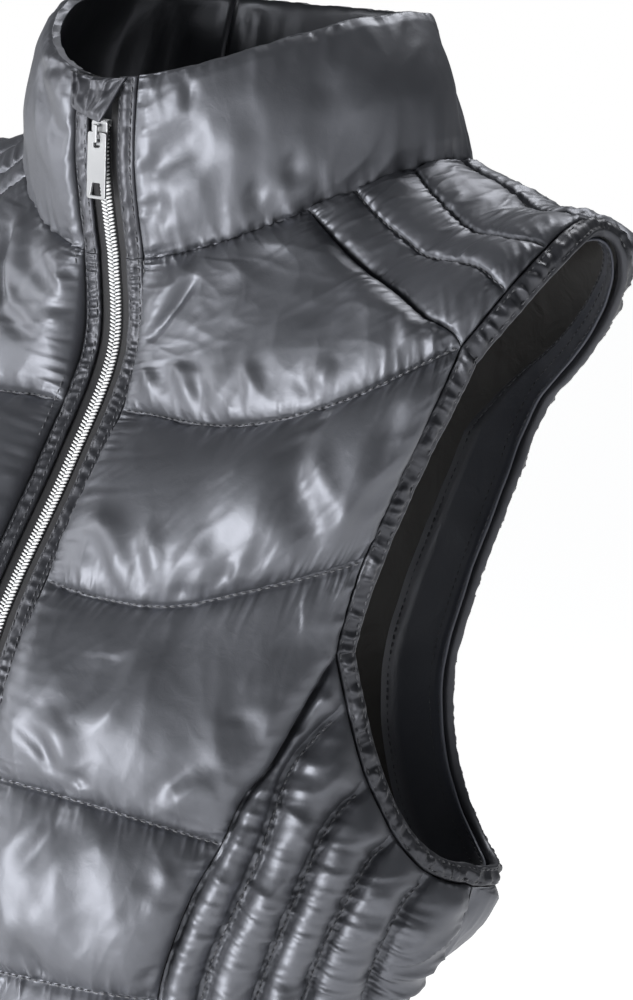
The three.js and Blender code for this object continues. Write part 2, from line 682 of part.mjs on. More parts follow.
function edgeLoop() {
  const front = frontRows
    .map(({ row, v }) => lerp(crossSeam(row, 1), crossSeam(row + 1, 1), v))
    .filter((t) => t > 6.049 && t < 6.931)
    .map((t) => [frontEdge(t), t]);
  const yokeShares = [0, shareAt(armTop, 0, 68), shareAt(armTop, 0, 77), shareAt(armTop, 0, 90), 1];
  const yoke = [];
  for (let k = 0; k < 4; k += 1) {
    for (const a of [0, 0.16, 0.5, 0.84]) {
      yoke.push(along(armTop, lerp(yokeShares[k], yokeShares[k + 1], a)));
    }
  }
  yoke.push(along(armTop, 1));
  const back = [];
  for (const row of [7, 6, 5, 4]) {
    const down = BACK_STEPS[row].slice().reverse()
      .filter((v) => (row !== 7 || v <= BLADE_SHARE) && (row !== 4 || v >= SIDE_SEAM_SHARE));
    for (const v of down) back.push(backEdge(row, v));
  }
  const cuts = SIDE_RAILS.map((rail) => shareAt(armBottom, 0, rail[rail.length - 1][1]));
  const side = [];
  for (let k = 4; k >= 0; k -= 1) {
    for (const a of [1, 0.83, 0.5, 0.17]) side.push(along(armBottom, lerp(cuts[k], cuts[k + 1], a)));
  }
  side.push(along(armBottom, 0));
  return armholeLoop(front, yoke, back, side);
}

// Slider, pull tab and the gathered flap over them

const zipMiddle = surface(0, ZIP_TOP);
const zipOut = normal(0, ZIP_TOP);
const zipUp = unit(cross([1, 0, 0], zipOut)).map((v) => -v);

function placed(x, up, out) {
  return add(add(add(zipMiddle, [1, 0, 0], x), zipUp, up), zipOut, out);
}


// Bodies built in the slider's own frame: x across, y up the zip, z out of the vest

const wasm = await Module();
wasm.setup();
const { Manifold, CrossSection } = wasm;

function block(x0, x1, y0, y1, z0, z1) {
  return Manifold.cube([x1 - x0, y1 - y0, z1 - z0]).translate([x0, y0, z0]);
}

function fromManifold(name, body, color) {
  const mesh = body.getMesh();
  const points = [];
  for (let i = 0; i < mesh.vertProperties.length; i += mesh.numProp) {
    points.push(placed(...mesh.vertProperties.slice(i, i + 3)));
  }
  const faces = [];
  for (let i = 0; i < mesh.triVerts.length; i += 3) {
    faces.push(Array.from(mesh.triVerts.slice(i, i + 3)));
  }
  return solid(name, points, faces, color);
}

const PIVOT_OUT = 3.8;

function slider() {
  const lower = block(-4.1, 4.1, -5, 5, -3.1, -1.9);
  const upper = block(-4.1, 4.1, -5, 5, 1.8, 2.9);
  const post = block(-1.2, 1.2, 3.4, 5, -2.2, 2.2);
  const legLow = block(-1, 1, -3.6, -2.5, 2.6, 5.6);
  const legHigh = block(-1, 1, 2.5, 3.6, 2.6, 5.6);
  const beam = block(-1, 1, -3.6, 3.6, 4.75, 5.6);
  return fromManifold('zip_slider', Manifold.union([lower, upper, post, legLow, legHigh, beam]),
    METAL);
}

function pullTab() {
  const half = TAB_WIDTH / 2;
  const foot = 0.5 - TAB_LENGTH;
  const outline = [
    [-half + 1.6, 0.5], [-half + 0.5, 0.1], [-half, -1.2], [-half, foot + 0.9],
    [-half + 0.9, foot], [half - 0.9, foot], [half, foot + 0.9], [half, -1.2],
    [half - 0.5, 0.1], [half - 1.6, 0.5],
  ];
  const slot = [[-1.7, -5.6], [1.7, -5.6], [1.7, -0.5], [-1.7, -0.5]];
  const window = [
    [-half + 1.5, foot + 1.3], [half - 1.5, foot + 1.3], [half - 2.3, foot + 6],
    [-half + 2.3, foot + 6],
  ];
  const plate = new CrossSection([outline, slot, window], 'EvenOdd').extrude(TAB_THICK)
    .translate([0, 0, PIVOT_OUT - TAB_THICK / 2]);
  return fromManifold('pull_tab', plate, METAL);
}

function garage() {
  const high = [8, 7.4, 6.6, 5.9, 5.4, 5];
  const low = [6.1, 5.4, 4.6, 3.9, 3.5, 3.3];
  const sides = [0, 0.14, 0.36, 0.62, 0.86, 1];
  const grid = sides.map((u) => high.map((h, j) => {
    const v = j / 5;
    const x = lerp(lerp(-10, 3.4, u), lerp(-15, 12.4, u), v ** 0.8);
    const t = lerp(lerp(9.765, 9.71, u), 9.985, v);
    return { phi: angleAtWidth(x, t), t, high: h - (u === 0 || u === 1 ? 0.4 : 0), low: low[j] };
  }));
  return panel('zip_garage', grid, SHELL_DARK, [1, 1]);
}

// Assembly

const group = new THREE.Group();
group.name = 'quilted_vest';

function pair(mesh, name) {
  group.add(mesh);
  group.add(mirrored(mesh, name));
}

const armLoop = edgeLoop();

pair(frontPanel(), 'front_right');
pair(sidePanel(), 'side_right');
pair(yokePanel(), 'yoke_right');
group.add(backPanel());
pair(loopStrip('armhole_band_left', armLoop, BAND_SECTION, 1, SHELL_DARK), 'armhole_band_right');
pair(loopStrip('armhole_facing_left', armLoop, FACING_SECTION, 2, FACING), 'armhole_facing_right');

const collarColumns = [0, 0.02, 0.06, 0.13, 0.21, 0.3, 0.4, 0.5, 0.6, 0.7, 0.8, 0.89, 0.96, 1];
pair(collarPiece('collar_left', collarColumns, true), 'collar_right');
group.add(collarPiece('collar_back', [143.4, 145, 150, 158, 167, 176, 184, 193, 202, 210, 215, 216.6],
  false));

pair(closureStrip('zip_strip_left', STRIP_SECTION, ZIP_HEIGHTS, SHELL_DARK), 'zip_strip_right');
pair(closureStrip('zip_tape_left', TAPE_SECTION, ZIP_HEIGHTS, TAPE), 'zip_tape_right');
const chainHeights = ZIP_HEIGHTS.filter((t) => t < ZIP_TOP).concat([ZIP_TOP + 0.035]);
group.add(closureStrip('zip_chain', CHAIN_SECTION, chainHeights, METAL));
group.add(slider());
group.add(pullTab());
group.add(garage());

export default group;
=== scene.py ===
"""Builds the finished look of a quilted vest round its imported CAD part.

Lengths in the tables are millimetres in the part's frame: +X is the wearer's left, -Y the
front and +Z up. The seam surface is a function of an angle round the body, in degrees from
the middle of the front, and a ring number that runs from 0 at the hem through 9 at the neck
seam to 10 at the collar's top edge.
"""

import logging
from dataclasses import dataclass, field
from enum import Enum
from typing import Sequence

import bmesh
import bpy
import numpy as np
from mathutils import Matrix, Vector


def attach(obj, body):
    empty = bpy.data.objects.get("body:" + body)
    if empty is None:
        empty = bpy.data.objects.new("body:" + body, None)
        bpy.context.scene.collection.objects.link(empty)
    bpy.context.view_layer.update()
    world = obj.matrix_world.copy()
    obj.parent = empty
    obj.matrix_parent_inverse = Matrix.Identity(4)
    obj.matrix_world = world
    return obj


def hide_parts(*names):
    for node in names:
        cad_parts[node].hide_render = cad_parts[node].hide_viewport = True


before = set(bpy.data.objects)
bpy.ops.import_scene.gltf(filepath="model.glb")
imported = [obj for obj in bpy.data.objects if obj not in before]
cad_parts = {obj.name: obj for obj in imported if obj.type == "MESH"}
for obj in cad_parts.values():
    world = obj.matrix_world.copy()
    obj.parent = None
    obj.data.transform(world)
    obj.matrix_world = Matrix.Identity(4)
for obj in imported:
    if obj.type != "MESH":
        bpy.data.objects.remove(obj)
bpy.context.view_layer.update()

LOG = logging.getLogger("vest")
MM = 0.001
Array = np.ndarray

# Wall and filling in millimetres, close to the part's, and places on the seam surface
WALL_IN = 1.4
SEAM_OUT = 1.6
SEAM_GAP = 0.16
FRONT_PUFF = 12.5
BACK_PUFF = 10.0
SIDE_PUFF = 7.8
YOKE_PUFF = 3.0
COLLAR_PUFF = 3.4
PANEL_START = 15.8
ZIP_TOP = 9.655
NECK = 9.0
MM_PER_DEGREE = 2.15
MM_PER_RING = 74.0
SIDE_TALL = 330.0
YOKE_LONG = 95.0
YOKE_MM_PER_DEGREE = 2.4
COLLAR_TALL = 62.0
COLLAR_MM_PER_DEGREE = 1.5
COLLAR_LONG = 210.0

BODY_RINGS = np.array([
    (-620, 168, 168, -8, -620, -132, -620, 74, 0.86, 0.80),
    (-545, 162, 162, -12, -545, -131, -545, 64, 0.86, 0.80),
    (-475, 141, 141, -17, -475, -128, -475, 48, 0.88, 0.80),
    (-405, 123, 119, -20, -405, -125, -405, 34, 0.90, 0.90),
    (-330, 126, 119, -20, -330, -135, -320, 30, 0.92, 0.92),
    (-277, 144, 148, -15, -250, -143, -268, 32, 0.94, 0.60),
    (-187, 137, 131, -14, -192, -132, -186, 28, 0.90, 0.60),
    (-34, 172, 174, 2, -130, -99, -95, 54, 0.80, 0.78),
    (-14, 134, 136, 8, -84, -78, -55, 58, 0.88, 0.82),
    (0, 96, 96, 6, -46, -82, -12, 50, 1.0, 1.0),
], float)
COLLAR_RINGS = np.array([
    (0, 96, 96, 6, -46, -82, -12, 50, 1.0, 1.0),
    (32, 92, 81, 4, -10, -92, 26, 38, 1.0, 1.0),
    (58, 76, 72, 0, 24, -95, 58, 37, 1.0, 1.0),
], float)

YOKE_SEAM = [(9, 48), (8.35, 48), (7.88, 50), (7.27, 52.5), (6.93, 60.5)]
ARM_FRONT = [(60.5, 6.05), (59.3, 6.25), (58.6, 6.45), (58.6, 6.65), (60.5, 6.93)]
ARM_TOP = [(60.5, 6.93), (68, 7.07), (77, 7.22), (84, 7.35), (90, 7.44), (97, 7.38), (106, 7.2)]
ARM_BACK = [
    (92.5, 5.03), (106, 5.0), (119, 5.0), (130, 5.05), (138, 5.16), (142.5, 5.3), (144, 5.5),
    (142, 5.8), (139.5, 6.08), (140.2, 6.3), (141.5, 6.52), (142.5, 6.7), (140, 6.86),
    (131, 6.95), (121.5, 7.04), (113.5, 7.12), (106, 7.2),
]
BACK_MEETS = (0, 4, 9, 12, 16)
ARM_BOTTOM = [
    (60.5, 6.05), (65, 5.85), (70, 5.54), (75, 5.3), (80, 5.17), (86, 5.09), (92.5, 5.03),
]
SIDE_RAILS = [
    [(0, 37), (1, 37), (2, 37.5), (3, 38), (4.17, 38), (4.45, 39), (4.8, 41), (5.08, 44),
     (5.35, 47), (5.58, 52), (5.92, 58), (6.05, 60.5)],
    [(0, 46), (1, 46), (2, 46), (3, 46), (4.22, 46), (4.45, 46.5), (4.75, 48), (5.03, 50),
     (5.37, 53), (5.58, 56), (5.72, 60), (5.85, 65)],
    [(0, 57), (1, 57), (2, 56.5), (3, 56), (4.27, 56), (4.63, 56.5), (4.9, 57.5), (5.18, 60),
     (5.38, 64), (5.54, 70)],
    [(0, 68), (1, 68), (2, 67.5), (3, 66.5), (4.4, 65), (4.68, 65), (4.93, 66.5), (5.17, 70),
     (5.3, 75)],
    [(0, 80), (1, 80), (2, 79.5), (3, 78.5), (4.3, 77.5), (4.55, 76.5), (4.78, 76.5),
     (4.98, 78.5), (5.12, 83)],
    [(0, 92.5), (2, 92.5), (4, 92.5), (5.03, 92.5)],
]
YOKE_RAILS = [
    [(0, 48), (0.314, 48), (0.541, 50), (0.836, 52.5), (1, 60.5)],
    [(0, 59), (0.28, 58), (0.61, 60), (0.92, 65), (1, 68)],
    [(0, 75), (0.4, 70.5), (0.85, 71.5), (1, 77)],
    [(0, 90), (0.35, 89), (0.8, 87.5), (1, 90)],
    [(0, 106), (0.5, 105), (1, 106)],
]
ROWS = [0, 1.02, 2.05, 3.08, 4.12, 5.08, 6.28, 7.5, 9]
BACK_ROWS = [0, 1.02, 2.05, 3.08, 4.12, 5.2, 6.28, 7.5, 9]
SECOND_SEAM = [(0, 6.34), (0.16, 6.28), (0.4, 6.24), (0.63, 6.28), (1, 6.32)]
FIRST_SEAM = [(0, 7.5), (0.1, 7.47), (0.28, 7.33), (0.45, 7.2), (0.72, 7.02), (1, 6.93)]
PRINCESS_TOP = 6.05
YOKE_CORNER = 6.93
SIDE_SEAM = 92.5
LEAST_RISE = 0.6


class Side(Enum):
    """Which half of the vest a piece belongs to."""

    LEFT = 1
    RIGHT = -1

    @property
    def word(self) -> str:
        """The word used in the names of pieces and nodes."""
        return self.name.lower()


# Curves and the seam surface


def catmull(rows: Array, t: Array) -> Array:
    """Returns rows of a table blended by a uniform Catmull-Rom curve at row number t.

    Args:
        rows: The table, one row for each whole number.
        t: Row numbers wanted.

    Returns:
        One blended row for each t, on a last axis.
    """
    t = np.asarray(t, float)
    k = np.clip(np.floor(t).astype(int), 0, len(rows) - 2)
    u = (t - k)[..., None]
    p0, p1 = rows[np.clip(k - 1, 0, None)], rows[k]
    p2, p3 = rows[k + 1], rows[np.clip(k + 2, None, len(rows) - 1)]
    m1, m2 = (p2 - p0) / 2, (p3 - p1) / 2
    return ((2 * u**3 - 3 * u**2 + 1) * p1 + (u**3 - 2 * u**2 + u) * m1
            + (-2 * u**3 + 3 * u**2) * p2 + (u**3 - u**2) * m2)


def smooth(table: Sequence[tuple[float, float]], x: Array) -> Array:
    """Returns the value at x of a table of (x, value) joined by cubics of matched slope.

    Args:
        table: Points (x, value) in any order.
        x: Places wanted.

    Returns:
        One value for each x; past the ends the line runs on straight.
    """
    tab = np.array(sorted(table), float)
    xs, ys = tab[:, 0], tab[:, 1]
    slope = np.empty_like(ys)
    slope[1:-1] = (ys[2:] - ys[:-2]) / (xs[2:] - xs[:-2])
    slope[0] = (ys[1] - ys[0]) / (xs[1] - xs[0])
    slope[-1] = (ys[-1] - ys[-2]) / (xs[-1] - xs[-2])
    x = np.asarray(x, float)
    k = np.clip(np.searchsorted(xs, x, side="left") - 1, 0, len(xs) - 2)
    h = xs[k + 1] - xs[k]
    u = (x - xs[k]) / h
    inner = ((2 * u**3 - 3 * u**2 + 1) * ys[k] + (u**3 - 2 * u**2 + u) * h * slope[k]
             + (-2 * u**3 + 3 * u**2) * ys[k + 1] + (u**3 - u**2) * h * slope[k + 1])
    low = ys[k] + slope[k] * (x - xs[k])
    high = ys[k + 1] + slope[k + 1] * (x - xs[k + 1])
    return np.where(u < 0, low, np.where(u > 1, high, inner))


def unit(v: Array) -> Array:
    """Returns vectors scaled to length one."""
    return v / np.maximum(np.linalg.norm(v, axis=-1, keepdims=True), 1e-9)


def lerp(a: Array, b: Array, u: Array) -> Array:
    """Returns a blended toward b."""
    return a + (b - a) * u


def run_length(line: Array) -> Array:
    """Returns the length of a line of points up to each of them."""
    return np.concatenate([[0.0], np.cumsum(np.linalg.norm(np.diff(line, axis=0), axis=1))])


def at_length(want: Array, long: Array, rows: Array) -> Array:
    """Returns each column of rows at the wanted lengths.

    Args:
        want: Lengths wanted.
        long: Length up to each row.
        rows: One row of values for each station.

    Returns:
        One row for each wanted length.
    """
    return np.stack([np.interp(want, long, column) for column in rows.T], 1)


def rings_at(t: Array) -> Array:
    """Returns the ring's ten numbers at ring number t, on the body or on the collar.

    Args:
        t: Ring number.

    Returns:
        Half widths, depths, heights and powers, on a last axis of ten.
    """
    t = np.asarray(t, float)
    body = catmull(BODY_RINGS, np.clip(t, 0, NECK))
    collar = catmull(COLLAR_RINGS, np.clip(t - NECK, 0, 1) * 2)
    return np.where((t <= NECK)[..., None], body, collar)


def point(phi: Array, t: Array) -> Array:
    """Returns points of the seam surface.

    Each ring is a superellipse: x is the half width times a power of the sine, y runs from
    the side to the front or back with the same power of the cosine, and z with its square.

    Args:
        phi: Angle round the body in degrees.
        t: Ring number.

    Returns:
        Points in millimetres, with the same shape as the arguments and a last axis of 3.
    """
    phi, t = np.broadcast_arrays(np.asarray(phi, float), np.asarray(t, float))
    zs, af, ab, ys, zf, yf, zb, yb, pf, pb = np.moveaxis(rings_at(t), -1, 0)
    c, s = np.cos(np.radians(phi)), np.sin(np.radians(phi))
    mix = np.sin(np.pi / 2 * np.clip(c / 0.3, -1, 1))
    a = (af + ab) / 2 + (af - ab) / 2 * mix
    p = (pf + pb) / 2 + (pf - pb) / 2 * mix
    w = np.abs(c) ** p
    x = a * np.sign(s) * np.abs(s) ** p
    y = np.where(c >= 0, ys + (yf - ys) * w, ys + (yb - ys) * w)
    z = np.where(c >= 0, zs + (zf - zs) * c * c, zs + (zb - zs) * c * c)
    return np.stack([x, y, z], -1)


def slopes(phi: Array, t: Array, above: bool) -> tuple[Array, Array]:
    """Returns the two tangents of the surface, from differences kept on one side of the neck.

    Args:
        phi: Angle round the body in degrees.
        t: Ring number.
        above: Measure on the collar, not on the body.

    Returns:
        Millimetres across for each degree, and up for each ring.
    """
    phi, t = np.broadcast_arrays(np.asarray(phi, float), np.asarray(t, float))
    low, high = (NECK, 10.0) if above else (0.0, NECK)
    lo, hi = np.clip(t - 0.01, low, high - 0.01), np.clip(t + 0.01, low + 0.01, high)
    across = point(phi + 0.5, t) - point(phi - 0.5, t)
    shift = 1e-7 if above else 0.0
    up = (point(phi, hi) - point(phi, lo + shift)) / (hi - lo)[..., None]
    return across, up


def tangents(phi: Array, t: Array) -> tuple[Array, Array]:
    """Returns the tangents across and up, those of the collar above the neck seam.

    Args:
        phi: Angle round the body in degrees.
        t: Ring number.

    Returns:
        The tangents across and up.
    """
    body, collar = slopes(phi, t, False), slopes(phi, t, True)
    pick = (np.asarray(t) > NECK)[..., None]
    return np.where(pick, collar[0], body[0]), np.where(pick, collar[1], body[1])


def wall(phi: Array, t: Array) -> Array:
    """Returns the direction in which a wall is built; on the neck seam it halves both walls.

    Args:
        phi: Angle round the body in degrees.
        t: Ring number.

    Returns:
        Directions out of the vest, of length one but on the neck seam.
    """
    phi, t = np.broadcast_arrays(np.asarray(phi, float), np.asarray(t, float))
    low, high = (unit(np.cross(*slopes(phi, t, above))) for above in (False, True))
    both = (low + high) / (1 + (low * high).sum(-1, keepdims=True))
    out = np.where((t > NECK)[..., None], high, low)
    return np.where((np.abs(t - NECK) < 1e-6)[..., None], both, out)


def angle_at_width(x: Array, t: Array) -> Array:
    """Returns the angle at which the front is x wide, for narrow pieces beside the zip.

    Args:
        x: Distance from the middle of the front in millimetres.
        t: Ring number.

    Returns:
        Angle in degrees.
    """
    ring = rings_at(t)
    s = (np.abs(x) / ring[..., 1]) ** (1 / ring[..., 8])
    return np.sign(x) * np.degrees(np.arcsin(s))


@dataclass
class Trace:
    """A curve through (angle, ring) points, measured in space."""

    points: Sequence[tuple[float, float]]
    steps: int = 24
    flat: Array = field(init=False)
    long: Array = field(init=False)

    def __post_init__(self) -> None:
        """Samples the curve and adds up its length."""
        total = (len(self.points) - 1) * self.steps
        self.flat = catmull(np.array(self.points, float), np.arange(total + 1) / self.steps)
        self.long = run_length(point(self.flat[:, 0], self.flat[:, 1]))

    def along(self, share: Array) -> tuple[Array, Array]:
        """Returns (angle, ring) at a share of the curve's length."""
        want = np.asarray(share) * self.long[-1]
        return (np.interp(want, self.long, self.flat[:, 0]),
                np.interp(want, self.long, self.flat[:, 1]))

    def share_at(self, column: int, value: float) -> float:
        """Returns the share of length at which a coordinate is nearest to a value."""
        return float(self.long[np.argmin(np.abs(self.flat[:, column] - value))] / self.long[-1])


ARM = {
    "front": Trace(ARM_FRONT), "top": Trace(ARM_TOP),
    "back": Trace(ARM_BACK), "bottom": Trace(ARM_BOTTOM),
}


def front_edge(t: Array) -> Array:
    """Returns the angle of a front panel's outer edge: princess seam, armhole, yoke seam."""
    t = np.asarray(t, float)
    arm = smooth([(ring, phi) for phi, ring in ARM_FRONT], t)
    low = smooth(SIDE_RAILS[0], t)
    high = smooth(YOKE_SEAM, t)
    return np.where(t <= PRINCESS_TOP, low, np.where(t >= YOKE_CORNER, high, arm))


def cross_seam(row: int, u: Array) -> Array:
    """Returns the ring number of a front panel's cross seam at share u of its width.

    Args:
        row: Number of the seam from the hem up.
        u: Share of the width.

    Returns:
        Ring number of the seam.
    """
    if row == 6:
        return smooth(SECOND_SEAM, u)
    if row == 7:
        return smooth(FIRST_SEAM, u)
    return np.full_like(np.asarray(u, float), ROWS[row])


# Noise and folds


def lattice(ix: Array, iy: Array, seed: int) -> Array:
    """Returns an angle in radians for each whole-number place, mixed from its bits.

    Args:
        ix: Whole-number place across.
        iy: Whole-number place up.
        seed: Seed of the noise.

    Returns:
        Angle in radians, the same each run.
    """
    h = (ix.astype(np.int64) * 374761393 + iy.astype(np.int64) * 668265263
         + seed * 974634777) & 0xFFFFFFFF
    h = ((h ^ (h >> 13)) * 1274126177) & 0xFFFFFFFF
    h = ((h ^ (h >> 16)) * 2246822519) & 0xFFFFFFFF
    return (h ^ (h >> 15)) / 4294967296.0 * 2 * np.pi


def noise(x: Array, y: Array, seed: int) -> Array:
    """Returns smooth gradient noise of about -1 to 1, one cell for each unit of x and y.

    Args:
        x: Place across, in cells.
        y: Place up, in cells.
        seed: Seed of the noise.

    Returns:
        Height of about -1 to 1.
    """
    x, y = np.broadcast_arrays(np.asarray(x, float), np.asarray(y, float))
    ix, iy = np.floor(x), np.floor(y)
    fx, fy = x - ix, y - iy
    sx, sy = fx**3 * (fx * (fx * 6 - 15) + 10), fy**3 * (fy * (fy * 6 - 15) + 10)

    def corner(dx: int, dy: int) -> Array:
        """Returns one corner's slope times the distance from it."""
        a = lattice(ix + dx, iy + dy, seed)
        return np.cos(a) * (fx - dx) + np.sin(a) * (fy - dy)

    low = corner(0, 0) * (1 - sx) + corner(1, 0) * sx
    high = corner(0, 1) * (1 - sx) + corner(1, 1) * sx
    return (low * (1 - sy) + high * sy) * 1.5


def ridges(x: Array, y: Array, seed: int) -> Array:
    """Returns sharp-crested noise from 0 to 1: one less the size of smooth noise."""
    return 1 - np.minimum(np.abs(noise(x, y, seed)), 1)


def step01(x: Array, low: float, high: float) -> Array:
    """Returns a smooth step from 0 at low to 1 at high."""
    k = np.clip((np.asarray(x, float) - low) / (high - low), 0, 1)
    return k * k * (3 - 2 * k)


def puff(v: Array, fullness: float = 0.75) -> Array:
    """Returns the filling's height across a channel, fuller toward its lower edge."""
    return np.sin(np.pi * np.clip(v, 0, 1) ** 0.78) ** fullness


def channel(first: Array, second: Array, fullness: float = 0.75, groove: float = 0.9) -> Array:
    """Returns the filling's height between two seams that lie in flat grooves.

    Args:
        first: Distance from the lower seam in millimetres.
        second: Distance from the upper seam.
        fullness: Smaller is boxier.
        groove: Half the width of a seam's groove.

    Returns:
        Height from 0 to 1, a little below 0 in the grooves.
    """
    low, top = (np.clip(d - groove, 0, None) for d in (first, second))
    sunk = 0.07 * (1 - step01(np.minimum(first, second), groove * 0.5, groove * 1.3))
    return puff(low / np.maximum(low + top, 1e-6), fullness) - sunk


def edge_fade(distance: Array, reach: float) -> Array:
    """Returns a quarter circle that rises from 0 at an edge to 1 at reach."""
    k = np.clip(np.asarray(distance, float) / reach, 0, 1)
    return np.sqrt(1 - (1 - k) ** 2)


def gathers(x: Array, d: Array, seed: int, spacing: float, reach: float, depth: float) -> Array:
    """Returns straight puckers that stand across a seam, each with its own length.

    Args:
        x: Distance along the seam in millimetres.
        d: Distance from the seam in millimetres.
        seed: Seed of the noise.
        spacing: Usual gap between puckers.
        reach: Usual length of a pucker.
        depth: Height of the strongest pucker.

    Returns:
        Height in millimetres.
    """
    bend = (x + 0.3 * d * noise(x / 45, 0 * d + 1.3, seed + 1)
            + 1.2 * noise(x / 11, d / 26, seed + 5))
    crest = ridges(bend / spacing, d / (reach * 5) + 7.7, seed) ** 2.6
    uneven = noise(bend / (spacing * 1.3), 0 * d + 3.1, seed + 3)
    length = reach * (0.3 + 1.2 * step01(uneven, -0.6, 0.8))
    envelope = np.exp(-(np.clip(d, 0, None) / length) ** 1.6) * step01(d, -0.5, 1.2 + 0.06 * reach)
    patchy = 0.4 + 0.6 * step01(noise(x / 37, d / 90, seed + 4), -0.5, 0.4)
    return depth * (crest - 0.5) * envelope * patchy


def seam_puckers(x: Array, d: Array, seed: int, strength: float, long: float) -> Array:
    """Returns fine, middling and long puckers beside a seam, in millimetres."""
    return strength * (gathers(x, d, seed, 4.0, 5, 2.5) + gathers(x, d, seed + 7, 8, 9, 2.5)
                       + long * gathers(x, d, seed + 13, 21, 27, 2.7))


@dataclass(frozen=True)
class Crease:
    """A soft trough or ridge through given (angle, ring) points."""

    course: tuple[tuple[float, float], ...]
    depth: float
    width: float
    lip: float = 0.45
    end: float = 14.0

    def height(self, x: Array, y: Array, seed: int) -> Array:
        """Returns its height over a panel.

        The profile across is a bell of the given depth with a lip of the other sign beside
        it, and it fades over the given length at both ends. Slow noise makes it uneven.

        Args:
            x: Angle of each point times the millimetres in a degree.
            y: Ring number of each point times the millimetres in a ring.
            seed: Seed of the noise.

        Returns:
            Height in millimetres; a positive depth is a trough.
        """
        pts = np.array(self.course, float) * (MM_PER_DEGREE, MM_PER_RING)
        if len(pts) > 2:
            pts = catmull(pts, np.linspace(0, len(pts) - 1, 4 * (len(pts) - 1) + 1))
        runs = np.linalg.norm(np.diff(pts, axis=0), axis=1)
        starts = np.concatenate([[0], np.cumsum(runs)])
        best = np.full(x.shape, 1e9)
        side, place = np.zeros(x.shape), np.zeros(x.shape)
        for a, b, run, start in zip(pts[:-1], pts[1:], runs, starts):
            d = (b - a) / run
            s = np.clip((x - a[0]) * d[0] + (y - a[1]) * d[1], 0, run)
            px, py = x - a[0] - d[0] * s, y - a[1] - d[1] * s
            far = np.hypot(px, py)
            nearer = far < best
            best = np.where(nearer, far, best)
            side = np.where(nearer, px * d[1] - py * d[0], side)
            place = np.where(nearer, start + s, place)
        total = starts[-1]
        ends = step01(place, -1, min(self.end, total / 2)) * step01(
            total - place, -1, min(self.end, total / 2))
        cap = np.exp(-np.clip((best**2 - side**2), 0, None) / self.width**2)
        wide = self.width * (1 + 0.3 * noise(x / 23, y / 23, seed))
        bell = np.exp(-(side / wide) ** 2)
        lip = np.exp(-((side - 1.9 * wide) / (1.2 * wide)) ** 2)
        return -self.depth * (bell - self.lip * lip) * ends * cap
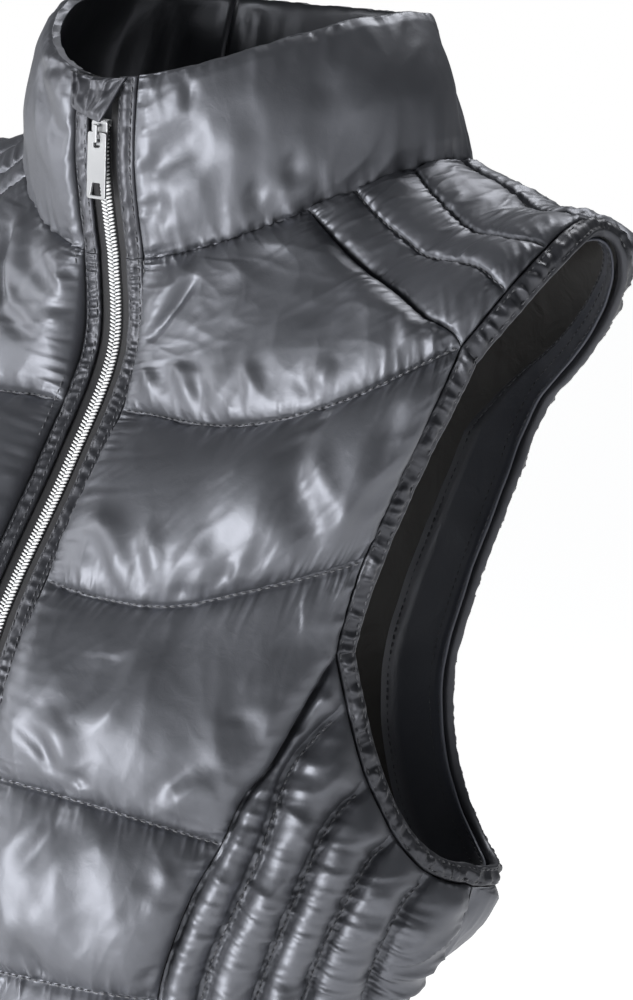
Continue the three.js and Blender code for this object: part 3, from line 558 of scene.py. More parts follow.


# Creases as (angle, ring) points, depth and width in millimetres; a negative depth is a ridge.
# Most were picked in the photo, and a fitted camera turned the picture points into
# these angles and rings

FRONT_CREASES = (
    Crease(((22.4, 8.69), (16, 8.43), (11.2, 8.23), (7.2, 8.07)), 2.4, 3.2),
    Crease(((22.4, 8.86), (14.8, 8.64), (7.6, 8.35)), -2, 6),
    Crease(((41.6, 8.49), (34.4, 8.55), (30.8, 8.34)), 1.2, 9),
    Crease(((48, 8.14), (42.8, 7.82), (39.2, 7.56)), 1.4, 9),
    Crease(((8.4, 7.53), (8.8, 7.76), (7.2, 7.91)), -1.8, 3),
    Crease(((15.2, 7.4), (15.2, 7.62), (14.4, 7.9)), -2.2, 3),
    Crease(((16.8, 7.36), (17.2, 7.55), (16.8, 7.72)), 1.6, 3.5),
    Crease(((25.2, 7.26), (26, 7.43), (26, 7.65)), -2, 3),
    Crease(((35.6, 7.1), (34, 7.25), (32.4, 7.41)), 1.8, 3.5),
    Crease(((37.2, 7.1), (36, 7.27), (35.6, 7.38)), -1.6, 5),
    Crease(((48.8, 7.06), (48.4, 7.26), (49.6, 7.44)), 1.6, 4),
    Crease(((50, 7.06), (50.4, 7.23), (52, 7.37)), -1.2, 4),
    Crease(((33.6, 7.05), (36.4, 6.83), (42.8, 6.61), (50, 6.41)), 3.6, 6.5),
    Crease(((37.6, 6.85), (42.4, 6.68), (48, 6.54), (54, 6.41)), -3, 4),
    Crease(((36.8, 7.01), (38.4, 6.91)), 2, 4),
    Crease(((8.8, 7.4), (6, 7.2), (4.8, 7.01)), 1.2, 3),
    Crease(((49.2, 6.9), (52.8, 6.84), (56.4, 6.76)), -2.2, 5),
    Crease(((48.8, 6.86), (52.4, 6.74), (57.2, 6.66)), 1.6, 8),
    Crease(((50, 6.68), (50.4, 6.59), (54, 6.48)), -1.8, 6),
    Crease(((52.4, 6.62), (53.6, 6.54), (54.4, 6.47)), 2.2, 6),
    Crease(((8.4, 6.73), (13.6, 6.53), (19.6, 6.27)), -2.6, 5),
    Crease(((9.2, 6.61), (14.4, 6.42), (18.4, 6.25)), 1.8, 4),
    Crease(((17.6, 6.65), (22.4, 6.44), (26, 6.27)), -1.8, 3),
    Crease(((26.8, 6.59), (29.6, 6.43), (30.8, 6.28)), -1.8, 6),
    Crease(((28.8, 6.57), (32.8, 6.42)), 1.6, 5),
    Crease(((36.4, 6.5), (40, 6.4), (42.4, 6.35)), 2.4, 4),
    Crease(((34.4, 6.42), (34.8, 6.3)), 1.8, 4),
    Crease(((35.2, 6.47), (36.4, 6.36), (36, 6.29)), -1.6, 4),
    Crease(((29.2, 6.26), (27.2, 6.35)), 1.8, 3),
    Crease(((28, 6.08), (28.8, 5.94), (26, 5.71), (23.2, 5.51)), -1.8, 6),
    Crease(((22, 6.03), (22.4, 5.77), (21.6, 5.59)), 1, 9),
    Crease(((14, 5.52), (16.4, 5.32), (18, 5.18)), 2.6, 4),
    Crease(((15.6, 5.63), (18, 5.4), (19.2, 5.19)), -2.4, 6),
    Crease(((20.4, 5.3), (22, 5.18)), 2, 3.5),
    Crease(((32.4, 5.16), (34.8, 5.33), (38.8, 5.49), (43.2, 5.54)), 2.2, 4.5),
    Crease(((34.4, 5.17), (37.2, 5.32), (40, 5.41)), -1.8, 6),
    Crease(((48.4, 5.9), (50, 5.8), (49.6, 5.68)), -1.6, 6),
    Crease(((46, 5.83), (47.6, 5.69), (49.6, 5.62)), 1.4, 6),
    Crease(((52, 6.11), (55.6, 6.08), (58.8, 6.06)), 1, 5),
    Crease(((46, 6.15), (52, 6.11), (53.6, 6.18)), 1.2, 9),
    Crease(((19.2, 5.09), (17.2, 4.87), (13.2, 4.65)), 2.4, 4),
    Crease(((20.4, 4.95), (21.6, 4.71), (24.4, 4.38), (27.2, 4.14)), -1.8, 8),
    Crease(((22.8, 4.97), (24.8, 4.69), (28, 4.36)), 2, 8),
    Crease(((25.2, 5.05), (26.8, 4.81), (30.4, 4.48), (35.2, 4.2)), -1.8, 7),
    Crease(((14, 4.4), (16.8, 4.23), (20, 4.1)), 2.4, 5),
    Crease(((12.4, 4.58), (12.4, 4.39), (12.8, 4.25)), -2, 5),
    Crease(((15.2, 4.65), (18, 4.38), (21.2, 4.13)), -1.8, 6),
    Crease(((36.4, 4.88), (38.8, 4.77), (41.2, 4.71)), 1.8, 5),
    Crease(((35.2, 4.94), (37.6, 4.79), (40.4, 4.72)), -1.6, 4),
    Crease(((34, 4.32), (38, 4.27)), 1.8, 5),
)
RIGHT_CHEST_CREASES = (
    Crease(((10.4, 8.32), (7.2, 8.24), (3.6, 8.15)), -2.2, 5),
    Crease(((12.8, 8.76), (9.6, 8.59), (6.4, 8.42)), -1.6, 3),
    Crease(((10.4, 8.81), (5.6, 8.46), (3.2, 8.23)), 2, 5),
    Crease(((22.4, 8.66), (16.4, 8.61), (12, 8.43)), 1.6, 7),
    Crease(((22, 8.07), (13.6, 7.96), (7.2, 7.86)), 1.4, 7),
)
COLLAR_LEFT_CREASES = (
    Crease(((12, 9.37), (16.8, 9.5), (23.2, 9.57), (29.6, 9.59)), 3.4, 8),
    Crease(((11.2, 9.29), (14.8, 9.29), (18.4, 9.35)), 2.2, 5),
    Crease(((26, 9.93), (25.6, 9.8), (24, 9.68)), 1.6, 4),
    Crease(((41.6, 9.24), (44.8, 9.29), (48.8, 9.34)), 2.6, 6),
    Crease(((34.8, 9.29), (36.8, 9.24), (39.2, 9.19)), 2, 5),
    Crease(((33.2, 9.67), (34, 9.47), (35.2, 9.3)), -1.2, 9),
    Crease(((58, 9.75), (53.2, 9.52), (48.4, 9.31)), 1.8, 12),
    Crease(((68, 9.74), (63.6, 9.52), (58.4, 9.33)), -1.2, 10),
    Crease(((92, 9.2), (99, 9.45), (112, 9.6)), 1.5, 8),
    Crease(((118, 9.8), (122, 9.5), (133, 9.3)), 1.5, 8),
)
COLLAR_RIGHT_CREASES = (
    Crease(((34.4, 9.76), (22, 9.68), (13.2, 9.61), (6, 9.56), (2.4, 9.52)), 2.2, 5),
    Crease(((34.4, 9.76), (26, 9.86), (16.8, 9.95)), 1.6, 4),
    Crease(((14, 9.7), (9.6, 9.65), (4.8, 9.62)), 1.4, 4),
    Crease(((8.8, 9.64), (5.6, 9.6), (2, 9.57)), 1.3, 4),
    Crease(((60, 9.2), (52, 9.5), (47, 9.75)), 1.5, 8),
    Crease(((84, 9.75), (92, 9.5), (104, 9.3)), 1.4, 9),
    Crease(((116, 9.2), (122, 9.5), (131, 9.7)), 1.5, 7),
)


def moved(creases: Sequence[Crease], low: float, top: float, turn: float,
          drop: float) -> tuple[Crease, ...]:
    """Returns similar creases elsewhere: those between two rings, turned and dropped.

    Args:
        creases: The creases to choose from.
        low: Lowest ring of those taken.
        top: Ring below which they start.
        turn: Degrees added.
        drop: Rings taken away.

    Returns:
        The creases in their new place.
    """
    found = [c for c in creases if low <= min(t for _, t in c.course) < top]
    return tuple(Crease(tuple((phi + turn, t - drop) for phi, t in c.course), c.depth, c.width)
                 for c in found)


def on_back(creases: Sequence[Crease], way: int, drop: float) -> tuple[Crease, ...]:
    """Returns similar creases on one half of the back; way is 1 or -1."""
    return tuple(Crease(tuple((180 + way * (6 + (phi - 8) * 1.35), t - drop)
                              for phi, t in c.course), c.depth * 0.85, c.width) for c in creases)


LOW_CREASES = (
    *moved(FRONT_CREASES, 6.2, 7.2, 2.0, 3.17), *moved(FRONT_CREASES, 5.1, 6.2, -4.0, 3.06),
    *moved(FRONT_CREASES, 4.05, 5.1, 5.0, 3.09), *moved(FRONT_CREASES, 4.05, 5.1, 9.0, 4.12),
    *moved(FRONT_CREASES, 6.2, 7.2, -3.0, 6.25),
)
LEFT_CREASES = (*FRONT_CREASES, *LOW_CREASES)
RIGHT_CREASES = (
    *RIGHT_CHEST_CREASES, *moved(FRONT_CREASES, 7.2, 9.0, 12.0, 0.03),
    *moved(FRONT_CREASES, 6.2, 7.2, 5.0, 1.08), *moved(FRONT_CREASES, 5.1, 6.2, -5.0, -1.12),
    *moved(FRONT_CREASES, 4.05, 5.1, 6.0, 0.02), *moved(LOW_CREASES, 0, 4.1, 6.0, 0.01),
)
BACK_CREASES = (
    *on_back(LEFT_CREASES[::2], 1, 0.05), *on_back(LEFT_CREASES[1::2], -1, 0.02),
)


# Meshes


def link(obj: bpy.types.Object) -> bpy.types.Object:
    """Returns an object after it has been added to the scene."""
    bpy.context.scene.collection.objects.link(obj)
    return obj


def make_object(name: str, verts: Array, faces: Sequence[Array], slots: Sequence[Array],
                uvs: Array | None = None) -> bpy.types.Object:
    """Makes a smooth-shaded object from arrays.

    Args:
        name: Name of the object.
        verts: Points in millimetres.
        faces: Arrays of faces, each with one number of corners.
        slots: Material number of each face, in arrays that match faces.
        uvs: Place on the cloth of each vertex, in metres.

    Returns:
        The linked object.
    """
    mesh = bpy.data.meshes.new(name)
    loops = np.concatenate([f.ravel() for f in faces]).astype(np.int32)
    sizes = np.concatenate([np.full(len(f), f.shape[1]) for f in faces]).astype(np.int32)
    mesh.vertices.add(len(verts))
    mesh.vertices.foreach_set("co", (verts * MM).astype(np.float32).ravel())
    mesh.loops.add(len(loops))
    mesh.loops.foreach_set("vertex_index", loops)
    mesh.polygons.add(len(sizes))
    mesh.polygons.foreach_set("loop_start", np.cumsum(sizes) - sizes)
    mesh.polygons.foreach_set("loop_total", sizes)
    mesh.polygons.foreach_set("material_index", np.concatenate(slots).astype(np.int32))
    mesh.polygons.foreach_set("use_smooth", np.ones(len(sizes), bool))
    if uvs is not None:
        layer = mesh.uv_layers.new(name="cloth")
        layer.data.foreach_set("uv", uvs[loops].astype(np.float32).ravel())
    mesh.validate()
    mesh.update(calc_edges=True)
    return link(bpy.data.objects.new(name, mesh))


def grid_faces(nu: int, nv: int, start: int = 0, flip: bool = False) -> Array:
    """Returns the quads of a grid whose point (i, j) has number start + i * nv + j.

    Args:
        nu: Points along the first way.
        nv: Points along the second way.
        start: Number of the first point.
        flip: Turn the faces round.

    Returns:
        Four point numbers for each face.
    """
    i, j = np.meshgrid(np.arange(nu - 1), np.arange(nv - 1), indexing="ij")
    a = start + (i * nv + j).ravel()
    quads = np.stack([a, a + nv, a + nv + 1, a + 1], 1)
    return quads[:, ::-1] if flip else quads


def rim(nu: int, nv: int, start: int = 0) -> Array:
    """Returns the numbers of a grid's outer points, once round, counter-clockwise."""
    n = np.arange(nu * nv).reshape(nu, nv) + start
    return np.concatenate([n[:-1, 0], n[-1, :-1], n[:0:-1, -1], n[0, :0:-1]])


@dataclass
class Shell:
    """A padded panel: a detailed outer face over a plain inner one, closed at its edges.

    Attributes:
        phi: Angle of each grid point.
        t: Ring number of each grid point.
        high: Height of the outer face over the seam surface, in millimetres.
        low: Height of the inner face.
        slide: Distance by which the outer points are pushed up the surface.
        coarse: The inner face keeps one row and column in this many.
    """

    phi: Array
    t: Array
    high: Array
    low: Array | float = -WALL_IN
    slide: Array | float = 0.0
    coarse: int = 3

    def base(self) -> tuple[Array, Array, Array]:
        """Returns the points drawn back from the seams, the wall direction and the way up."""
        p, w = point(self.phi, self.t), wall(self.phi, self.t)
        up = unit(tangents(self.phi, self.t)[1])
        out = p.copy()
        for edge, inner in (((0, slice(None)), (1, slice(None))),
                            ((-1, slice(None)), (-2, slice(None))),
                            ((slice(None), 0), (slice(None), 1)),
                            ((slice(None), -1), (slice(None), -2))):
            run = unit(np.gradient(p[edge], axis=0))
            to = p[inner] - p[edge]
            out[edge] += unit(to - (to * run).sum(-1, keepdims=True) * run) * SEAM_GAP
        return out, w, up

    def build(self, name: str, side: Side = Side.LEFT) -> bpy.types.Object:
        """Returns the closed object, with its lining as the second material.

        Args:
            name: Name of the object.
            side: The right side is the left one seen in a mirror.

        Returns:
            The linked object.
        """
        p, w, up = self.base()
        nu, nv = self.phi.shape
        outer = p + w * self.high[..., None] + up * np.broadcast_to(
            self.slide, self.phi.shape)[..., None]
        k = self.coarse
        low = np.broadcast_to(self.low, self.phi.shape)
        inner = (p + w * low[..., None])[::k, ::k]
        mu, mv = inner.shape[:2]
        verts = np.concatenate([outer.reshape(-1, 3), inner.reshape(-1, 3)])
        first, second = rim(nu, nv), rim(mu, mv, nu * nv)
        ring = np.concatenate([first, first[:1]])
        chunks = np.stack([ring[i:len(first) + i:k][:len(second)] for i in range(k + 1)], 1)
        walls = np.concatenate([chunks[:, ::-1], second[:, None],
                                np.roll(second, -1)[:, None]], 1)
        faces = [grid_faces(nu, nv), grid_faces(mu, mv, nu * nv, True), walls]
        slots = [np.zeros(len(faces[0])), np.ones(len(faces[1])), np.zeros(len(walls))]
        if side is Side.RIGHT:
            verts = verts * (-1, 1, 1)
            faces = [f[:, ::-1] for f in faces]
        flat = np.stack([self.phi * MM_PER_DEGREE, self.t * MM_PER_RING], -1) * MM
        uvs = np.concatenate([flat.reshape(-1, 2), flat[::k, ::k].reshape(-1, 2)])
        return make_object(name, verts, faces, slots, uvs)


def sections(name: str, rings: Array, closed: bool, side: Side = Side.LEFT) -> bpy.types.Object:
    """Returns a swept strip from rings of section points, with flat ends where it is open.

    Args:
        name: Name of the object.
        rings: Section points, ring by ring.
        closed: The last ring joins the first.
        side: The right side is a mirror image.

    Returns:
        The linked object.
    """
    n, m = rings.shape[:2]
    ids = np.arange(n * m).reshape(n, m)
    nxt = np.roll(ids, -1, 0) if closed else ids[1:]
    here = ids if closed else ids[:-1]
    quads = np.stack([here, np.roll(here, -1, 1), np.roll(nxt, -1, 1), nxt], -1).reshape(-1, 4)
    faces = [quads]
    if not closed:
        faces += [ids[:1, ::-1], ids[-1:]]
    verts = rings.reshape(-1, 3)
    a, b, c = (verts[quads[:, i]] for i in range(3))
    if ((a * np.cross(b, c)).sum() < 0) != (side is Side.RIGHT):
        faces = [f[:, ::-1] for f in faces]
    if side is Side.RIGHT:
        verts = verts * (-1, 1, 1)
    return make_object(name, verts, faces, [np.zeros(len(f)) for f in faces])


def scatter(name: str, unit_verts: Array, unit_faces: Array, places: Array,
            axes: Array) -> bpy.types.Object:
    """Returns many copies of a small closed shape.

    Args:
        name: Name of the object.
        unit_verts: Points of one copy.
        unit_faces: Faces of one copy, all with the same number of corners.
        places: Centre of each copy.
        axes: For each copy the three vectors that its own x, y and z become.

    Returns:
        The linked object.
    """
    verts = places[:, None, :] + np.einsum("vk,nkc->nvc", unit_verts, axes)
    n, m = len(places), len(unit_verts)
    faces = (unit_faces[None] + (np.arange(n) * m)[:, None, None]).reshape(-1, unit_faces.shape[1])
    return make_object(name, verts.reshape(-1, 3), [faces], [np.zeros(len(faces))])


def bead(around: int, along: int) -> tuple[Array, Array]:
    """Returns a bead of unit radius as quads; with four points round it, tiny four-sided caps close
    its poles.

    Args:
        around: Points round it.
        along: Rings from pole to pole.

    Returns:
        Its points and its faces.
    """
    lat = np.linspace(-0.5, 0.5, along) * np.pi * 0.94
    lon = np.arange(around) * 2 * np.pi / around
    ring = np.stack([np.outer(np.cos(lat), np.cos(lon)), np.outer(np.cos(lat), np.sin(lon)),
                     np.outer(np.sin(lat), np.ones(around))], -1)
    ids = np.arange(along * around).reshape(along, around)
    quads = np.stack([ids[:-1], np.roll(ids[:-1], -1, 1), np.roll(ids[1:], -1, 1), ids[1:]],
                     -1).reshape(-1, 4)
    caps = np.array([ids[0][[0, 3, 2, 1]], ids[-1][[0, 1, 2, 3]]]) if around == 4 else None
    faces = quads if caps is None else np.concatenate([quads, caps])
    return ring.reshape(-1, 3), faces


def crowd(steps: int, pull: float = 0.45) -> Array:
    """Returns places from 0 to 1 that stand closer together at both ends."""
    s = np.arange(steps + 1) / steps
    return s - pull * np.sin(2 * np.pi * s) / (2 * np.pi)


def thirds(count: float) -> int:
    """Returns a whole number of steps that the coarse inner face divides evenly."""
    return 3 * max(2, round(count / 3))


def folds(x: Array, y: Array, angle: float, long: float, wide: float, seed: int) -> Array:
    """Returns soft long folds, from about -0.5 to 0.5, that run at an angle in degrees.

    Args:
        x: Distance along the cloth in millimetres.
        y: Distance up the cloth in millimetres.
        angle: Way they run, in degrees.
        long: Usual length.
        wide: Usual width.
        seed: Seed of the noise.

    Returns:
        Height, before it is scaled.
    """
    c, s = np.cos(np.radians(angle)), np.sin(np.radians(angle))
    a, b = x * c + y * s, y * c - x * s
    b = b + 0.35 * wide * noise(a / (long * 0.6), b / (wide * 2.2), seed + 5)
    crest = ridges(a / long, b / wide, seed) ** 2.4
    return (crest - 0.45) * step01(noise(a / (long * 1.3), b / (wide * 3), seed + 6), -0.5, 0.4)


# Finishes

CRINKLE_HEIGHT = 0.0009
WEAVE_HEIGHT = 0.00006


def tune(node: bpy.types.Node, settings: dict[str, object]) -> None:
    """Sets a node's own sockets by name.

    Args:
        node: The node to set.
        settings: A value for each socket's name.
    """
    for socket, value in settings.items():
        node.inputs[socket].default_value = value


@dataclass(frozen=True)
class Finish:
    """A material with fine relief on the object's own coordinates.

    Attributes:
        name: Name of the material.
        colour: Base colour, linear.
        rough: Roughness.
        metal: Share of metal.
        sheen: Weight of the cloth sheen.
        crinkle: Size in metres and strength of the fine wrinkles.
        weave: Size in metres and strength of the thread pattern.
        uneven: Share by which colour and gloss vary over the surface.
    """

    name: str
    colour: tuple[float, float, float]
    rough: float
    metal: float = 0.0
    sheen: float = 0.0
    crinkle: tuple[float, float] = (0.0, 0.0)
    weave: tuple[float, float] = (0.0, 0.0)
    uneven: float = 0.0

    def mottle(self, nodes: bpy.types.Nodes, links: bpy.types.NodeLinks,
               place: bpy.types.Node, shader: bpy.types.Node) -> None:
        """Links a slow cloud to colour and roughness, so that the cloth isn't quite even.

        Args:
            nodes: Nodes of the material.
            links: Links of the material.
            place: Texture coordinates.
            shader: The surface.
        """
        cloud = nodes.new("ShaderNodeTexNoise")
        tune(cloud, {"Scale": 34.0, "Detail": 5.0})
        links.new(place.outputs["Object"], cloud.inputs["Vector"])
        tint = nodes.new("ShaderNodeMix")
        tint.data_type = "RGBA"
        tune(tint, {"A": (*(c * (1 - self.uneven) for c in self.colour), 1),
                    "B": (*(c * (1 + self.uneven) for c in self.colour), 1)})
        links.new(cloud.outputs["Fac"], tint.inputs["Factor"])
        links.new(tint.outputs["Result"], shader.inputs["Base Color"])
        gloss = nodes.new("ShaderNodeMapRange")
        tune(gloss, {"From Min": 0.3, "From Max": 0.7,
                     "To Min": self.rough * (1 - 0.5 * self.uneven),
                     "To Max": self.rough * (1 + 0.5 * self.uneven)})
        links.new(cloud.outputs["Fac"], gloss.inputs["Value"])
        links.new(gloss.outputs["Result"], shader.inputs["Roughness"])

    def material(self) -> bpy.types.Material:
        """Returns the material, made once."""
        made = bpy.data.materials.get(self.name)
        if made:
            return made
        mat = bpy.data.materials.new(self.name)
        mat.use_nodes = True
        nodes, links = mat.node_tree.nodes, mat.node_tree.links
        shader = nodes["Principled BSDF"]
        tune(shader, {"Base Color": (*self.colour, 1), "Roughness": self.rough,
                      "Metallic": self.metal, "Sheen Weight": self.sheen,
                      "Sheen Roughness": 0.4})
        place = nodes.new("ShaderNodeTexCoord")
        if self.uneven:
            self.mottle(nodes, links, place, shader)
        normal = None
        for (size, strength), detail, twist, far in ((self.crinkle, 4.0, 0.7, CRINKLE_HEIGHT),
                                                     (self.weave, 0.0, 0.0, WEAVE_HEIGHT)):
            if strength == 0:
                continue
            cloud = nodes.new("ShaderNodeTexNoise")
            tune(cloud, {"Scale": 1 / size, "Detail": detail, "Roughness": 0.5,
                         "Distortion": twist})
            bump = nodes.new("ShaderNodeBump")
            tune(bump, {"Strength": strength, "Distance": far})
            links.new(place.outputs["Object"], cloud.inputs["Vector"])
            links.new(cloud.outputs["Fac"], bump.inputs["Height"])
            if normal is not None:
                links.new(normal, bump.inputs["Normal"])
            normal = bump.outputs["Normal"]
        if normal is not None:
            links.new(normal, shader.inputs["Normal"])
        return mat


SHELL = Finish("shell_nylon", (0.125, 0.13, 0.147), 0.49, 0.75, 0.0,
               (0.006, 0.15), (0.0006, 0.2), 0.12)
TRIM = Finish("trim_nylon", (0.056, 0.058, 0.067), 0.44, 0.6, 0.0,
              (0.005, 0.15), (0.0006, 0.25), 0.14)
# The collar's inner face is the shell nylon painted darker: its colour is painted shade inside the
# collar
COLLAR_NYLON_PAINTED_SHADE = Finish("collar_inside_painted_shade", (0.03, 0.032, 0.038), 0.38, 0.6, 0.0,
                (0.008, 0.2), (0.0006, 0.2), 0.1)
LINING = Finish("lining_taffeta", (0.016, 0.0135, 0.012), 0.5, 0.0, 0.1,
                (0.012, 0.6), (0.0006, 0.2), 0.15)
FACING = Finish("facing_twill", (0.055, 0.06, 0.077), 0.46, 0.35, 0.1,
                (0.014, 0.5), (0.0008, 0.4), 0.15)
TAPE = Finish("zip_tape", (0.010, 0.010, 0.012), 0.8, 0.0, 0.2,
              (0.0, 0.0), (0.0008, 0.5), 0.1)
COIL = Finish("zip_coil", (0.74, 0.75, 0.76), 0.4, 0.0, 0.0,
              (0.0, 0.0), (0.0005, 0.1), 0.04)
METAL = Finish("brushed_metal", (0.30, 0.305, 0.315), 0.38, 0.9, 0.0,
               (0.0, 0.0), (0.0005, 0.12), 0.1)
THREAD = Finish("sewing_thread", (0.075, 0.078, 0.088), 0.55, 0.0, 0.3,
                (0.0, 0.0), (0.0005, 0.2), 0.1)
DARK_THREAD = Finish("dark_thread", (0.035, 0.037, 0.045), 0.6, 0.0, 0.3,
                     (0.0, 0.0), (0.0005, 0.2), 0.1)


def dress(obj: bpy.types.Object, finishes: Sequence[Finish], nodes: Sequence[str] = (),
          body: str = "vest") -> bpy.types.Object:
    """Gives an object its materials, its body and the CAD nodes it stands for.

    Args:
        obj: The finished piece.
        finishes: Its materials, in slot order.
        nodes: CAD nodes that it replaces.
        body: Body that carries it.

    Returns:
        The same object.
    """
    for finish in finishes:
        obj.data.materials.append(finish.material())
    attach(obj, body)
    if nodes:
        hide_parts(*nodes)
    LOG.info("%s: %d faces", obj.name, len(obj.data.polygons))
    return obj


# Padded panels


@dataclass
class Relief:
    """The cloth's own unevenness on one panel."""

    seed: int
    creases: tuple[Crease, ...] = ()

    def crinkle(self, x: Array, y: Array) -> Array:
        """Returns small soft wrinkles over the whole panel, in millimetres."""
        fine = folds(x, y, 66, 34, 9, self.seed + 20) + folds(x, y, 118, 38, 11, self.seed + 30)
        return 0.3 * fine + 0.08 * noise(x / 11, y / 9, self.seed + 40)

    def lumps(self, x: Array, y: Array) -> Array:
        """Returns the filling's slow unevenness, in millimetres."""
        broad = folds(x, y, 78, 85, 24, self.seed + 52) + folds(x, y, 112, 70, 20, self.seed + 53)
        return 0.8 * noise(x / 52, y / 34, self.seed + 50) + 0.7 * broad

    def placed(self, x: Array, y: Array) -> Array:
        """Returns the creases that have their own place, in millimetres.

        Args:
            x: Distance along the cloth in millimetres.
            y: Distance up the cloth in millimetres.

        Returns:
            Height in millimetres.
        """
        total = np.zeros(x.shape)
        for k, crease in enumerate(self.creases):
            total += crease.height(x, y, self.seed + 60 + k)
        return total


@dataclass
class FrontPanel:
    """A padded front with cross channels, from the zip strip to the princess seam."""

    side: Side
    seed: int
    detail: float
    creases: tuple[Crease, ...] = ()
    ROW_DETAIL = (36, 36, 36, 39, 57, 84, 87, 111)

    def build(self) -> bpy.types.Object:
        """Returns the dressed panel.

        Each channel is a puff across its height, fuller toward its lower seam, that sinks to
        the seams all round. Puckers stand on the cross seams and along both upright edges.
        """
        u = crowd(thirds(168 * self.detail), 0.35)[:, None]
        parts = []
        for row, count in enumerate(self.ROW_DETAIL):
            v = crowd(thirds(count * self.detail))[None, :]
            parts.append(self.row(row, u, v if row == 7 else v[:, :-1]))
        phi, t, high, slide = (np.concatenate([p[k] for p in parts], 1) for k in range(4))
        obj = Shell(phi, t, high, slide=slide).build(f"front_{self.side.word}_quilted", self.side)
        return dress(obj, (SHELL, LINING), [f"front_{self.side.word}"])

    def row(self, row: int, u: Array, v: Array) -> tuple[Array, Array, Array, Array]:
        """Returns angle, ring, height and slide over one channel.

        Args:
            row: Number of the channel from the hem up.
            u: Share of the width.
            v: Share of the channel's height.

        Returns:
            Angle, ring, height and slide of each grid point.
        """
        low, top = cross_seam(row, u), cross_seam(row + 1, u)
        t = lerp(low, top, v)
        start, end = angle_at_width(PANEL_START, t), front_edge(t)
        phi = lerp(start, end, u)
        wide = (end - start) * MM_PER_DEGREE
        tall = (top - low) * MM_PER_RING
        x, y = phi * MM_PER_DEGREE, t * MM_PER_RING
        below, above = v * tall, (1 - v) * tall
        fade = edge_fade(u * wide, 14) * edge_fade((1 - u) * wide, 12)
        relief = Relief(self.seed, self.creases)
        seed = self.seed + 100 * row
        on_seams = (seam_puckers(x, below, seed, 1.0, 1.0)
                    + seam_puckers(x, above, seed + 11, 0.9, 0.35))
        on_edges = (seam_puckers(y, (1 - u) * wide, self.seed + 21, 0.8, 0.6)
                    + seam_puckers(y, u * wide, self.seed + 31, 0.5, 0.4))
        edge = np.minimum(np.minimum(below, above), np.minimum(u * wide, (1 - u) * wide))
        rest = step01(edge, 0, 6) * (relief.lumps(x, y) + relief.crinkle(x, y)
                                     + relief.placed(x, y))
        share = step01(np.minimum(u * wide, (1 - u) * wide), 0, 5)
        swell = FRONT_PUFF * channel(below, above) * fade
        high = SEAM_OUT + swell + on_seams * share + on_edges * step01(
            np.minimum(below, above), 0, 5) + rest
        slide = -2.2 * np.sin(np.pi * v) * (1 - v) * fade
        return phi, t, np.maximum(high, LEAST_RISE), slide


@dataclass
class SidePanel:
    """A padded side panel with five upright channels that fan out from the armhole."""

    side: Side
    seed: int
    detail: float
    creases: tuple[Crease, ...] = ()

    def build(self) -> bpy.types.Object:
        """Returns the dressed panel; the channels lie between neighbouring rails."""
        height = (np.linspace(0, 1, thirds(300 * self.detail) + 1) ** 0.85)[None, :] * PRINCESS_TOP
        bottom = ARM["bottom"]
        cuts = [bottom.share_at(0, rail[-1][1]) for rail in SIDE_RAILS]
        relief = Relief(self.seed, self.creases)
        cols = []
        for k in range(5):
            a = crowd(thirds(24 * self.detail), 0.5)
            a = (a if k == 4 else a[:-1])[:, None]
            phi_top, t_top = bottom.along(lerp(cuts[k], cuts[k + 1], a))
            t = t_top * height / PRINCESS_TOP
            share = height / PRINCESS_TOP

            def course(at: Array) -> Array:
                """Returns the angle of this column without its turn into the armhole."""
                return lerp(smooth(SIDE_RAILS[k], at), smooth(SIDE_RAILS[k + 1], at), a)

            phi = course(t) + (phi_top - course(t_top)) * share**8
            gap = smooth(SIDE_RAILS[k + 1], t) - smooth(SIDE_RAILS[k], t)
            room = np.minimum(1, gap / 9)
            fade = edge_fade((1 - share) * SIDE_TALL, 14) * edge_fade(share * SIDE_TALL, 8) * room
            x, y = phi * MM_PER_DEGREE, t * MM_PER_RING
            left, right = a * gap * MM_PER_DEGREE, (1 - a) * gap * MM_PER_DEGREE
            seed = self.seed + 100 * k
            dents = (seam_puckers(y, left, seed, 1.4, 0.5)
                     + seam_puckers(y, right, seed + 11, 1.4, 0.5))
            inside = step01(np.minimum(left, right), 0, 3)
            rest = inside * (0.4 * relief.lumps(x, y) + 0.6 * relief.crinkle(x, y)
                             + 3.0 * folds(x, y, 16, 32, 17, seed + 3) + relief.placed(x, y))
            high = (SEAM_OUT + SIDE_PUFF * channel(left, right, 0.62, 2.1) * fade
                    + (dents * room + rest) * step01((1 - share) * SIDE_TALL, 0, 8))
            cols.append((phi, t, np.maximum(high, LEAST_RISE)))
        phi, t, high = (np.concatenate([c[k] for c in cols]) for k in range(3))
        obj = Shell(phi, t, high).build(f"side_{self.side.word}_quilted", self.side)
        return dress(obj, (SHELL, LINING), [f"side_{self.side.word}"])


